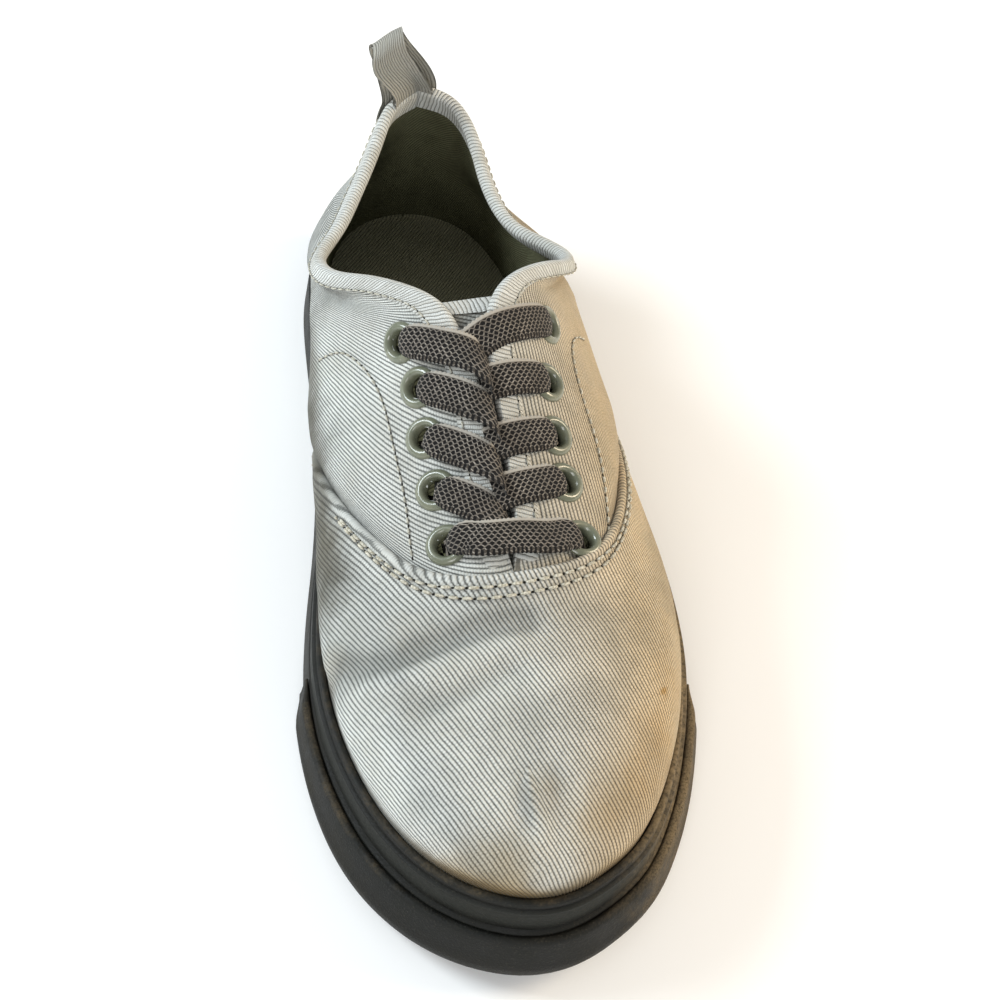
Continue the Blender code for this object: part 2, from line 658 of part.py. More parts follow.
# The upper and what is fastened to it
def upper_surface():
    """Base points, normals and faces of the canvas, with a number for each column's layer."""
    medial, medial_ridge = half_grid(-1)
    lateral, lateral_ridge = half_grid(1)
    ring = ring_of(margin(medial), margin(lateral))
    normals = surface_normals(ring)
    side_count = VAMP_COLUMNS + 1 + QUARTER_COLUMNS
    layer = np.zeros(side_count)
    layer[:VAMP_COLUMNS] = 1.0
    layer = np.concatenate([layer, layer[-2:0:-1]])
    ridge_points = (medial_ridge + lateral_ridge) / 2.0
    top_medial = normals[:VAMP_COLUMNS, -1]
    top_lateral = normals[-np.arange(VAMP_COLUMNS), -1]
    ridge_normals = unit(top_medial + top_lateral)
    return ring, normals, layer, ridge_points, ridge_normals


def upper_faces(count, rows):
    """Faces of the canvas: the ring of columns, and the strip that joins both sides along the ridge."""
    faces = quads(count, rows, True, False)
    ridge_start = count * rows
    top = rows - 1
    for k in range(VAMP_COLUMNS - 1):
        medial = (k * rows + top, (k + 1) * rows + top)
        lateral = ((-k % count) * rows + top, (-(k + 1) % count) * rows + top)
        middle = (ridge_start + k, ridge_start + k + 1)
        faces.append((medial[0], medial[1], middle[1], middle[0]))
        faces.append((lateral[1], lateral[0], middle[0], middle[1]))
    return faces


def offset_points(surface, rise, vamp_rise):
    """Points at a distance from the base surface, the vamp by vamp_rise more above the foxing."""
    ring, normals, layer, ridge_points, ridge_normals = surface
    rows = np.arange(ring.shape[1])
    ramp = np.clip((rows - 2) / 1.0, 0.0, 1.0)
    lift = rise + vamp_rise * layer[:, None] * ramp[None, :]
    ring_points = (ring + normals * lift[..., None]).reshape(-1, 3)
    return np.concatenate([ring_points, ridge_points + ridge_normals * (rise + vamp_rise)])


def add_upper(surface, eyelets, material):
    ring = surface[0]
    faces = upper_faces(*ring.shape[:2])
    outer = offset_points(surface, 0.0, VAMP_RAISE)
    inner = offset_points(surface, -UPPER_WALL, 0.0)
    upper = add_shell("upper", outer, inner, faces, material, sharp=30.0)
    holes = upper.modifiers.new("eyelet_holes", "BOOLEAN")
    holes.operation = "DIFFERENCE"
    holes.object = add_hole_cutter(eyelets)
    return upper


def cover_tree(surface):
    """Search tree over the outer canvas, with the throat bridged from edge to edge."""
    ring = surface[0]
    count, rows = ring.shape[:2]
    faces = upper_faces(count, rows)
    top = rows - 1
    for k in range(VAMP_COLUMNS, VAMP_COLUMNS + QUARTER_COLUMNS):
        one = (k * rows + top, (k + 1) * rows + top)
        two = ((-k % count) * rows + top, (-(k + 1) % count) * rows + top)
        faces.append((one[0], one[1], two[1], two[0]))
    seam = VAMP_COLUMNS - 1
    middle = count * rows + seam
    for k, way in ((seam, 1), (-seam, -1)):
        faces.append(((k % count) * rows + top, ((k + way) % count) * rows + top, middle))
    faces.append((VAMP_COLUMNS * rows + top, (-VAMP_COLUMNS % count) * rows + top, middle))
    points = [Vector(p) for p in offset_points(surface, 0.0, 0.0)]
    return BVHTree.FromPolygons(points, faces)


def on_cover(tree, x, y):
    """Point and normal of the canvas straight below a plan point."""
    place, normal, _, _ = tree.ray_cast(Vector((x, y, 1.0)), Vector((0, 0, -1)))
    if normal.z < 0:
        normal = -normal
    return place, normal


def eyelet_frames(tree):
    """Place and turn of every eyelet: its axis stands square on the canvas."""
    frames = []
    for name, table in (("medial", MEDIAL_EYELETS), ("lateral", LATERAL_EYELETS)):
        for row, (x, y) in enumerate(table, 1):
            place, normal = on_cover(tree, x * BALL_HALF, y * HALF_LENGTH)
            turn = normal.to_track_quat("Z", "Y").to_matrix().to_4x4()
            frames.append((f"eyelet_{name}_{row}", Matrix.Translation(place - ORIGIN) @ turn))
    return frames


def add_hole_cutter(eyelets):
    """Round bars through the canvas at every eyelet, as one hidden cutter."""
    body = bmesh.new()
    radius = EYELET_BARREL + GAP
    for _, frame in eyelets:
        bmesh.ops.create_cone(
            body, cap_ends=True, segments=ROUND_SIDES, radius1=radius, radius2=radius, depth=0.008,
            matrix=frame,
        )
    mesh = bpy.data.meshes.new("hole_cutter")
    body.to_mesh(mesh)
    body.free()
    cutter = bpy.data.objects.new("hole_cutter", mesh)
    cutter.hide_render = True
    cutter.display_type = "WIRE"
    bpy.context.scene.collection.objects.link(cutter)
    return cutter


def add_eyelet(name, frame, material):
    """A turned eyelet: rolled flange on the canvas, barrel through it."""
    flange = EYELET_FLANGE
    profile = [
        (EYELET_BORE, -UPPER_WALL), (EYELET_BARREL, -UPPER_WALL), (EYELET_BARREL, 2.4 * GAP),
        (flange, 2.4 * GAP), (0.92 * flange, EYELET_HEIGHT), (0.72 * flange, EYELET_HEIGHT),
        (EYELET_BORE, 0.35 * EYELET_HEIGHT),
    ]
    sections = []
    for k in range(ROUND_SIDES):
        turn = Matrix.Rotation(2.0 * math.pi * k / ROUND_SIDES, 4, "Z")
        sections.append([list(frame @ turn @ Vector((r, 0.0, z)) + ORIGIN) for r, z in profile])
    return add_loft(name, np.array(sections), material, closed=True, sharp=50.0)


def add_binding(surface, material):
    """Tape folded over the wall's top edge, from the throat's foot round the collar and back."""
    ring, normals, _, _, _ = surface
    count = len(ring)
    order = np.arange(VAMP_COLUMNS + 1, count - VAMP_COLUMNS)
    sections = []
    for k in order:
        edge, middle, low = ring[k, -1], ring[k, -2], ring[k, -3]
        up = unit(edge - middle)
        n_edge, n_middle, n_low = normals[k, -1], normals[k, -2], normals[k, -3]
        near = GAP
        far = GAP + BINDING_THICK
        inner_near = -(UPPER_WALL + GAP)
        inner_far = inner_near - BINDING_THICK
        brow = edge + up * GAP
        crest = edge + up * (GAP + BINDING_THICK)
        sections.append([
            low + n_low * near, middle + n_middle * near, brow + n_edge * near, brow + n_edge * inner_near,
            middle + n_middle * inner_near, middle + n_middle * inner_far, brow + n_edge * inner_far,
            crest + n_edge * (inner_far + 0.0008), crest + n_edge * (far - 0.0008), brow + n_edge * far,
            middle + n_middle * far, low + n_low * far,
        ])
    return add_loft("collar_binding", np.array(sections), material, sharp=60.0)


def add_tongue(tree, material):
    """Padded strip under the throat, from below the vamp to its top edge behind the last eyelets."""
    rows = np.linspace(TONGUE_FOOT, TONGUE_TOP, 14)
    across = np.linspace(-1.0, 1.0, 9)
    top = []
    low = []
    for share in rows:
        spread = smooth((share - TONGUE_FOOT) / (TONGUE_TOP - TONGUE_FOOT))
        half = BALL_HALF * (TONGUE_HALF_FOOT + (TONGUE_HALF_TOP - TONGUE_HALF_FOOT) * spread)
        for u in across:
            place, normal = on_cover(tree, u * half - 0.001, share * HALF_LENGTH)
            edge_thin = 1.0 - 0.55 * abs(u) ** 6
            top.append(list(place - normal * TONGUE_DROP))
            low.append(list(place - normal * (TONGUE_DROP + TONGUE_THICK * edge_thin)))
    faces = quads(len(rows), len(across), False, False)
    return add_shell("tongue", np.array(top), np.array(low), faces, material)


def strap(path, normals):
    """Flat lace along a path, lying square to the given normals."""
    half = LACE_HALF
    thick = LACE_THICK
    path = np.asarray(path)
    along = unit(np.gradient(path, axis=0))
    wide = unit(np.cross(np.asarray(normals), along))
    up = np.cross(along, wide)
    corners = ((-half, 0.12 * thick), (-0.9 * half, 0.0), (0.9 * half, 0.0), (half, 0.12 * thick),
               (half, 0.88 * thick), (0.9 * half, thick), (-0.9 * half, thick), (-half, 0.88 * thick))
    return np.stack([path + wide * w + up * z for w, z in corners], 1)


def lace_path(tree, start, end, lifts):
    """Points over the canvas from one plan point to another, at given lifts above it."""
    path = []
    ups = []
    count = len(lifts)
    for k, lift in enumerate(lifts):
        share = k / (count - 1)
        spot = start + (end - start) * share
        place, normal = on_cover(tree, spot[0], spot[1])
        path.append(list(place + normal * lift))
        ups.append(list(normal))
    return np.array(path), np.array(ups)


def add_lace(name, straps, material):
    """One body of one or more tapes that lie on each other."""
    made = [add_loft(f"{name}_{k}" if k else name, s, material) for k, s in enumerate(straps)]
    for extra in made[1:]:
        extra.hide_render = True
        extra.display_type = "WIRE"
        join = made[0].modifiers.new("crossing", "BOOLEAN")
        join.operation = "UNION"
        join.object = extra
    return made[0]


def add_laces(tree, material):
    medial = [np.array(p) * PLAN_SIZE for p in MEDIAL_EYELETS]
    lateral = [np.array(p) * PLAN_SIZE for p in LATERAL_EYELETS]
    rest = EYELET_HEIGHT + 2.0 * GAP
    bar = [rest, LACE_LIFT] + [LACE_LIFT + 0.0004] * 6 + [LACE_LIFT, rest]
    path, ups = lace_path(tree, medial[0], lateral[0], bar)
    add_lace("lace_bar_1", [strap(path, ups)], material)
    for row in range(1, 5):
        target = np.array([0.0015, 0.62 * lateral[row][1] + 0.38 * lateral[row - 1][1]])
        over = [rest, LACE_LIFT, LACE_LIFT, LACE_LIFT + 0.0004, LACE_LIFT + 0.0007, LACE_LIFT + 0.0006]
        path_over, ups_over = lace_path(tree, medial[row], target, over)
        tuck = (lateral[row][0] + lateral[row - 1][0]) / 20.0 - 0.0060
        under_end = np.array([tuck, 0.71 * lateral[row][1] + 0.29 * lateral[row - 1][1]])
        under = [rest, LACE_LIFT, LACE_LIFT, LACE_LIFT, LACE_LIFT, LACE_LIFT]
        path_under, ups_under = lace_path(tree, lateral[row], under_end, under)
        add_lace(
            f"lace_crossing_{row + 1}",
            [strap(path_over, ups_over), strap(path_under, ups_under)],
            material,
        )


def heel_columns(surface):
    """Places across the tape, with the wall's points and normals there."""
    ring, normals = surface[0], surface[1]
    heel = VAMP_COLUMNS + QUARTER_COLUMNS
    near = np.arange(heel - 4, heel + 5)
    edge = ring[near, -1]
    run = np.concatenate([[0.0], np.cumsum(np.linalg.norm(np.diff(edge, axis=0), axis=1))])
    run -= run[4]
    across = np.linspace(-LOOP_HALF, LOOP_HALF, 6) + LOOP_SHIFT
    kept = run[(run > across[0] + 0.0008) & (run < across[-1] - 0.0008)]
    across = across[[abs(kept - w).min() > 0.0008 for w in across]]
    across = np.sort(np.concatenate([across, kept]))
    place = np.interp(across, run, near)
    low = np.floor(place + 1e-6).astype(int)
    mix = (place - low)[:, None, None]
    points = ring[low] * (1.0 - mix) + ring[low + 1] * mix
    return across - LOOP_SHIFT, points, unit(normals[low] * (1.0 - mix) + normals[low + 1] * mix)


def add_pull_loop(surface, material):
    """Tape loop over the heel's top edge: one leg outside the wall, one inside, and a bend above."""
    reach, walls, normals = heel_columns(surface)
    outside = 2.0 * GAP + BINDING_THICK
    inside = -(UPPER_WALL + outside)
    bend = [
        (outside, 0.0), (outside + 0.0008, 0.22 * LOOP_RISE), (outside + 0.0016, 0.50 * LOOP_RISE),
        (outside + 0.0012, 0.80 * LOOP_RISE), (outside - 0.0006, 0.95 * LOOP_RISE), (-0.0012, LOOP_RISE),
        (inside + 0.0006, 0.95 * LOOP_RISE), (inside - 0.0012, 0.80 * LOOP_RISE),
        (inside - 0.0018, 0.50 * LOOP_RISE), (inside - 0.0010, 0.22 * LOOP_RISE), (inside, 0.0),
    ]
    profile = np.array(bend)
    along = unit(np.gradient(profile, axis=0))
    square = np.stack([along[:, 1], -along[:, 0]], -1)
    rows = (-4, -3, -2)
    middle = walls[np.abs(reach).argmin(), -1]
    straight = np.array([0.0, 1.0, 0.0])
    sections = []
    for k, w in enumerate(reach):
        up = unit(walls[k, -1] - walls[k, -2])
        layers = []
        for thick in (0.0, LOOP_THICK):
            line = [walls[k, row] + normals[k, row] * (outside + thick) for row in rows]
            for (away, height), way in zip(profile, square):
                away = away + way[0] * thick
                height = height + way[1] * thick
                flat = smooth(height / (0.7 * LOOP_RISE))
                base = walls[k, -1] * (1.0 - flat) + (middle + np.array([w, 0.0, 0.0])) * flat
                facing = unit(normals[k, -1] * (1.0 - flat) + straight * flat)
                lean = LOOP_LEAN * smooth(height / LOOP_RISE)
                line.append(base + facing * away + up * height + np.array([lean, 0.0, 0.0]))
            line += [walls[k, row] + normals[k, row] * (inside - thick) for row in reversed(rows)]
            layers.append(line)
        sections.append(layers[0] + layers[1][::-1])
    return add_loft("pull_loop", np.array(sections), material, sharp=50.0)


def clear_scene():
    for obj in list(bpy.data.objects):
        bpy.data.objects.remove(obj, do_unlink=True)


def plan_middle():
    """Middle of the rubber's box in plan, which becomes the origin."""
    outs = foxing_outs()["low"]
    bumper = outs + GAP + BUMPER_THICK
    plain = STATION_POINTS + STATION_NORMALS * outs[:, None]
    toe = STATION_POINTS[:, 1] < BUMPER_LATERAL_END * HALF_LENGTH
    toe_points = (STATION_POINTS + STATION_NORMALS * bumper[:, None])[toe]
    every = np.concatenate([plain, toe_points])
    return (every.min(axis=0) + every.max(axis=0)) / 2.0


ORIGIN = Vector((*plan_middle(), 0.0))


def main():
    clear_scene()
    canvas = principled("canvas", (0.46, 0.45, 0.42), 0.9)
    tape = principled("binding_tape", (0.36, 0.35, 0.31), 0.9)
    rubber = principled("rim_rubber", (0.045, 0.045, 0.038), 0.55)
    tread = principled("tread_rubber", (0.050, 0.048, 0.040), 0.7)
    lining = principled("insole_cloth", (0.07, 0.07, 0.055), 0.95)
    metal = principled("painted_eyelet", (0.20, 0.22, 0.20), 0.35)
    knit = principled("lace_knit", (0.09, 0.08, 0.075), 0.9)

    surface = upper_surface()
    tree = cover_tree(surface)
    eyelets = eyelet_frames(tree)
    add_outsole(tread)
    add_foxing(rubber)
    add_bumper(rubber)
    add_insole(lining)
    add_upper(surface, eyelets, canvas)
    add_binding(surface, tape)
    add_tongue(tree, canvas)
    for name, frame in eyelets:
        add_eyelet(name, frame, metal)
    add_laces(tree, knit)
    add_pull_loop(surface, tape)


main()
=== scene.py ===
"""The looks of a worn low canvas sneaker for the left foot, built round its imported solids.

Canvas, tape, laces, rubber and lining are surfaces worked out from the same last as the solids: a closed
feather line where canvas meets rubber, a ridge over the vamp, and a top edge round throat and collar, joined
by curved columns. Toe towards -Y, medial side towards -X, metres. Sizes in millimetres are multiplied by MM.
"""

import logging
import math
from dataclasses import dataclass, field
from enum import Enum

import bmesh
import bpy
import numpy as np
from mathutils import Matrix, Vector
from mathutils.bvhtree import BVHTree


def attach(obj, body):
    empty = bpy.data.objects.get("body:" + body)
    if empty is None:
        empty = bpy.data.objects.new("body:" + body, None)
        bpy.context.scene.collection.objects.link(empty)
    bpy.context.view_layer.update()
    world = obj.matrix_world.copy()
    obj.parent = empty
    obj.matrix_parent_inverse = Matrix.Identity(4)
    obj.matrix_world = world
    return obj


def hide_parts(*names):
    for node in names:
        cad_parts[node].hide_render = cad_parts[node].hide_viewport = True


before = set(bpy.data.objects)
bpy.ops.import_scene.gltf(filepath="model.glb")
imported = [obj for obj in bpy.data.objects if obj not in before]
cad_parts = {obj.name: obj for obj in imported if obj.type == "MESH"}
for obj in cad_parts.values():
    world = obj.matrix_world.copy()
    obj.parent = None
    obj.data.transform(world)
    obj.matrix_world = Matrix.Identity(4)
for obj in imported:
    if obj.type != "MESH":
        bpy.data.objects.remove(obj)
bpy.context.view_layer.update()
LOG = logging.getLogger("sneaker")
Array = np.ndarray
Socket = bpy.types.NodeSocket
Tree = bpy.types.NodeTree
Material = bpy.types.Material
Piece = bpy.types.Object
Screen = tuple[int, int, int]

MM = 0.001
TURN = 2.0 * math.pi
ORIGIN = (0.0, 0.0, 0.0)
WELD = 0.000002
PLAN_MIDDLE = np.array([0.0011324, -0.0000924, 0.0])

# Driving sizes of the last
HALF_LENGTH = 0.140
BALL_HALF = 0.050
THROAT_HEIGHT = 0.095
TOE_SPRING = 0.009
ARCH_LIFT = 0.0012
HEEL_LIFT = 0.0010
BALL_LINE = -0.44
ARCH_FRONT = -0.24
ARCH_BACK = 0.44
HEEL_BREAK = 0.88
VAMP_RISE = 0.62
VAMP_REACH = 0.034
VAMP_FULLNESS = 0.0015

# Walls, layers and clearances
GAP = 0.0003
UPPER_WALL = 0.0018
VAMP_RAISE = 0.0008
BINDING_WIDTH = 0.007
BINDING_THICK = 0.0008
TONGUE_DROP = 0.0038
TONGUE_THICK = 0.0026
TONGUE_FOOT = -0.50
TONGUE_TOP = 0.172
TONGUE_HALF_FOOT = 0.40
TONGUE_HALF_TOP = 0.56
INSOLE_THICK = 0.0045
INSOLE_CUP = 0.0020

# Rubber round the shoe
RIM_TOE = 0.0260
RIM_BALL = 0.0245
RIM_HEEL = 0.0310
BED_BALL = 0.0085
BED_HEEL = 0.0115
FOXING_FOOT = 0.0008
FOXING_FLARE = 0.0058
TOE_FLARE = 0.0075
TOE_SKEW = 0.0012
BALL_SPLAY = 0.0022
LIP_WIDTH = 0.0026
LIP_HEIGHT = 0.0030
BAND_HEIGHT = 0.0080
GROOVE_HEIGHT = 0.0008
SOLE_EDGE_OUT = 0.0030
SOLE_EDGE_HEIGHT = 0.0045
BUMPER_THICK = 0.0026
BUMPER_THIN = 0.0009
BUMPER_MEDIAL_END = -0.350
BUMPER_LATERAL_END = -0.440

# Metal, laces and tape
EYELET_FLANGE = 0.0061
EYELET_BORE = 0.0034
EYELET_HEIGHT = 0.0014
LACE_HALF = 0.0051
LACE_THICK = 0.0012
LOOP_HALF = 0.0090
LOOP_THICK = 0.0012
LOOP_RISE = 0.0270
LOOP_LEAN = -0.0105
LOOP_SHIFT = -0.0030

# Feather line in plan, shares of BALL_HALF and HALF_LENGTH, from the heel's back down the medial side to
# the toe and back up the lateral side
FEATHER = [
    (0.01, 0.995), (-0.36, 0.952), (-0.58, 0.835), (-0.66, 0.665), (-0.68, 0.470), (-0.715, 0.270),
    (-0.77, 0.107), (-0.835, -0.030), (-0.90, -0.145), (-0.952, -0.257), (-0.986, -0.386), (-0.964, -0.515),
    (-0.89, -0.643), (-0.75, -0.775), (-0.52, -0.887), (-0.24, -0.950), (-0.09, -0.963), (0.09, -0.957),
    (0.29, -0.924), (0.49, -0.871), (0.68, -0.779), (0.83, -0.671), (0.94, -0.557), (1.018, -0.429),
    (1.046, -0.307), (1.044, -0.180), (1.01, -0.050), (0.955, 0.095), (0.890, 0.215), (0.815, 0.370),
    (0.755, 0.535), (0.69, 0.685), (0.595, 0.820), (0.38, 0.945),
]
TOE_POINT = 16

# Ridge of the vamp: shares of HALF_LENGTH along and THROAT_HEIGHT up
RIDGE = [(-0.757, 0.537), (-0.68, 0.572), (-0.57, 0.608), (-0.46, 0.650), (-0.405, 0.698)]
RIDGE_SHIFT = -0.08

# Top edge of the quarters from the throat's foot round to the heel: shares of BALL_HALF, HALF_LENGTH and
# THROAT_HEIGHT, then the direction in which the wall meets it: inwards, backwards and upwards
MEDIAL_EDGE = [
    (-0.046, -0.405, 0.698, 1.0, 0.0, 0.08), (-0.050, -0.286, 0.740, 1.0, 0.0, 0.12),
    (-0.060, -0.143, 0.814, 1.0, 0.0, 0.18), (-0.080, -0.021, 0.903, 1.0, 0.0, 0.22),
    (-0.150, 0.070, 0.958, 1.0, 0.0, 0.30), (-0.230, 0.132, 0.984, 0.9, 0.1, 0.50),
    (-0.380, 0.204, 0.958, 0.7, 0.1, 0.80), (-0.580, 0.282, 0.890, 0.5, 0.0, 1.0),
    (-0.750, 0.350, 0.816, 0.3, 0.0, 1.0), (-0.806, 0.429, 0.758, 0.2, 0.0, 1.0),
    (-0.740, 0.507, 0.716, 0.28, 0.0, 1.0), (-0.622, 0.584, 0.695, 0.35, 0.0, 1.0),
    (-0.510, 0.671, 0.687, 0.42, 0.0, 1.0), (-0.400, 0.756, 0.695, 0.45, -0.05, 1.0),
    (-0.280, 0.850, 0.726, 0.40, -0.10, 1.0), (-0.160, 0.921, 0.768, 0.25, -0.15, 1.0),
    (0.010, 0.951, 0.800, 0.0, -0.15, 1.0),
]
LATERAL_EDGE = [
    (0.046, -0.405, 0.698, 1.0, 0.0, 0.08), (0.054, -0.286, 0.737, 1.0, 0.0, 0.12),
    (0.052, -0.147, 0.811, 1.0, 0.0, 0.18), (0.046, -0.054, 0.874, 1.0, 0.0, 0.20),
    (0.044, 0.014, 0.921, 1.0, 0.0, 0.25), (0.064, 0.093, 0.974, 1.0, 0.0, 0.30),
    (0.140, 0.154, 1.000, 0.9, 0.1, 0.50), (0.300, 0.221, 0.974, 0.7, 0.1, 0.80),
    (0.530, 0.282, 0.911, 0.5, 0.0, 1.0), (0.676, 0.336, 0.842, 0.35, 0.0, 1.0),
    (0.700, 0.396, 0.789, 0.35, 0.0, 1.0), (0.610, 0.471, 0.742, 0.45, 0.0, 1.0),
    (0.490, 0.543, 0.708, 0.55, 0.0, 1.0), (0.416, 0.629, 0.691, 0.55, 0.0, 1.0),
    (0.380, 0.729, 0.695, 0.50, -0.05, 1.0), (0.340, 0.843, 0.737, 0.40, -0.10, 1.0),
    (0.220, 0.921, 0.779, 0.25, -0.15, 1.0), (0.010, 0.951, 0.800, 0.0, -0.15, 1.0),
]

# Where the vamp's seam starts at the rubber, share of HALF_LENGTH, and how squarely it turns across the foot:
# share of its rise at the lower handle, forward reach of both handles and inward reach of the upper one
SEAM_FOOT = {-1: 0.185, 1: 0.210}
SEAM_RISE = {-1: 0.47, 1: 0.62}
SEAM_FORWARD = {-1: 0.012, 1: 0.016}
SEAM_TURN = {-1: 0.40, 1: 0.14}
SEAM_REACH = {-1: 0.034, 1: 0.044}

# Fullness of the quarter's wall, by share along HALF_LENGTH: metres outwards on each side at the lower
# handle of a column
QUARTER_FULLNESS = [(0.1, 0.017, 0.000), (0.2, 0.021, 0.003), (0.3, 0.023, 0.009), (0.5, 0.018, 0.013),
                    (0.7, 0.009, 0.007), (0.9, 0.003, 0.002), (1.0, 0.0, 0.0)]

# Eyelet centres, shares of BALL_HALF and HALF_LENGTH, from the toe up
MEDIAL_EYELETS = [(-0.330, -0.310), (-0.347, -0.194), (-0.369, -0.086), (-0.374, 0.012), (-0.440, 0.112)]
LATERAL_EYELETS = [(0.421, -0.320), (0.380, -0.200), (0.365, -0.104), (0.371, 0.008), (0.440, 0.148)]
PLAN_SIZE = np.array([BALL_HALF, HALF_LENGTH])

# How the cloth lies in wear: the folded edge over the quarters (rise and reach, mm), how deep its stitches
# draw it in, and the swelling of the inner wall: its depth, its height above the ground and its direction.
FOLD_OVER, FOLD_UNDER = (0.75, 8.0), (-0.95, 5.0)
STITCH_SUNK = 0.15 * MM
SWELL_DEPTH, SWELL_HEIGHT, SWELL_WAY = 2.3 * MM, 44.0 * MM, (-0.95, 0.0, 0.3)


class Side(Enum):
    """The two sides of the foot; the value is the sign of X."""

    MEDIAL = -1
    LATERAL = 1


def smooth(x: Array) -> Array:
    """Rise from 0 to 1 with level ends: 3x² - 2x³ of x held between 0 and 1."""
    x = np.clip(x, 0.0, 1.0)
    return x * x * (3.0 - 2.0 * x)


def unit(vectors: Array) -> Array:
    """Vectors divided by their own lengths."""
    return vectors / np.maximum(np.linalg.norm(vectors, axis=-1, keepdims=True), 1e-12)


def bump_of(distance: Array, half_width: float) -> Array:
    """A soft hump: e to the minus of (distance over half width) squared."""
    return np.exp(-((distance / half_width) ** 2))


def run_of(points: Array, axis: int = -2) -> Array:
    """Distance travelled along an axis of points: the running sum of the steps' lengths, from 0."""
    steps = np.linalg.norm(np.diff(points, axis=axis), axis=-1)
    axis = axis + 1 if axis < 0 else axis
    start = np.zeros_like(np.take(steps, [0], axis=axis))
    return np.concatenate([start, np.cumsum(steps, axis=axis)], axis)


class Spline:
    """Cubic curve with an even bend through its points, read by shares of chord length."""

    def __init__(self, points: Array, closed: bool = False) -> None:
        """Solve the bends.

        Args:
            points: the points that the curve passes through.
            closed: whether the last point joins the first.
        """
        p = np.asarray(points, float)
        if closed:
            p = np.vstack([p, p[:1]])
        chord = np.linalg.norm(np.diff(p, axis=0), axis=1)
        self.knots = np.concatenate([[0.0], np.cumsum(chord)]) / chord.sum()
        self.step = np.diff(self.knots)
        slope = np.diff(p, axis=0) / self.step[:, None]
        count = len(p) - 1 if closed else len(p)
        matrix = np.eye(count)
        right = np.zeros((count, p.shape[1]))
        for i in range(count):
            if not closed and i in (0, count - 1):
                continue
            before = (i - 1) % (len(p) - 1)
            matrix[i] = 0.0
            matrix[i, before] = self.step[before]
            matrix[i, i] = 2.0 * (self.step[before] + self.step[i])
            matrix[i, (i + 1) % count] += self.step[i]
            right[i] = 6.0 * (slope[i] - slope[before])
        bend = np.linalg.solve(matrix, right)
        self.bend = np.vstack([bend, bend[:1]]) if closed else bend
        self.points = p
        self.closed = closed

    def __call__(self, t: Array) -> Array:
        """Points at shares t, each a cubic between two knots."""
        t = np.asarray(t, float)
        t = t % 1.0 if self.closed else np.clip(t, 0.0, 1.0)
        k = np.clip(np.searchsorted(self.knots, t, side="right") - 1, 0, len(self.step) - 1)
        h = self.step[k][..., None]
        a = (self.knots[k + 1] - t)[..., None]
        b = (t - self.knots[k])[..., None]
        p, m = self.points, self.bend
        curved = (m[k] * a**3 + m[k + 1] * b**3) / (6.0 * h)
        return curved + (p[k] / h - m[k] * h / 6.0) * a + (p[k + 1] / h - m[k + 1] * h / 6.0) * b


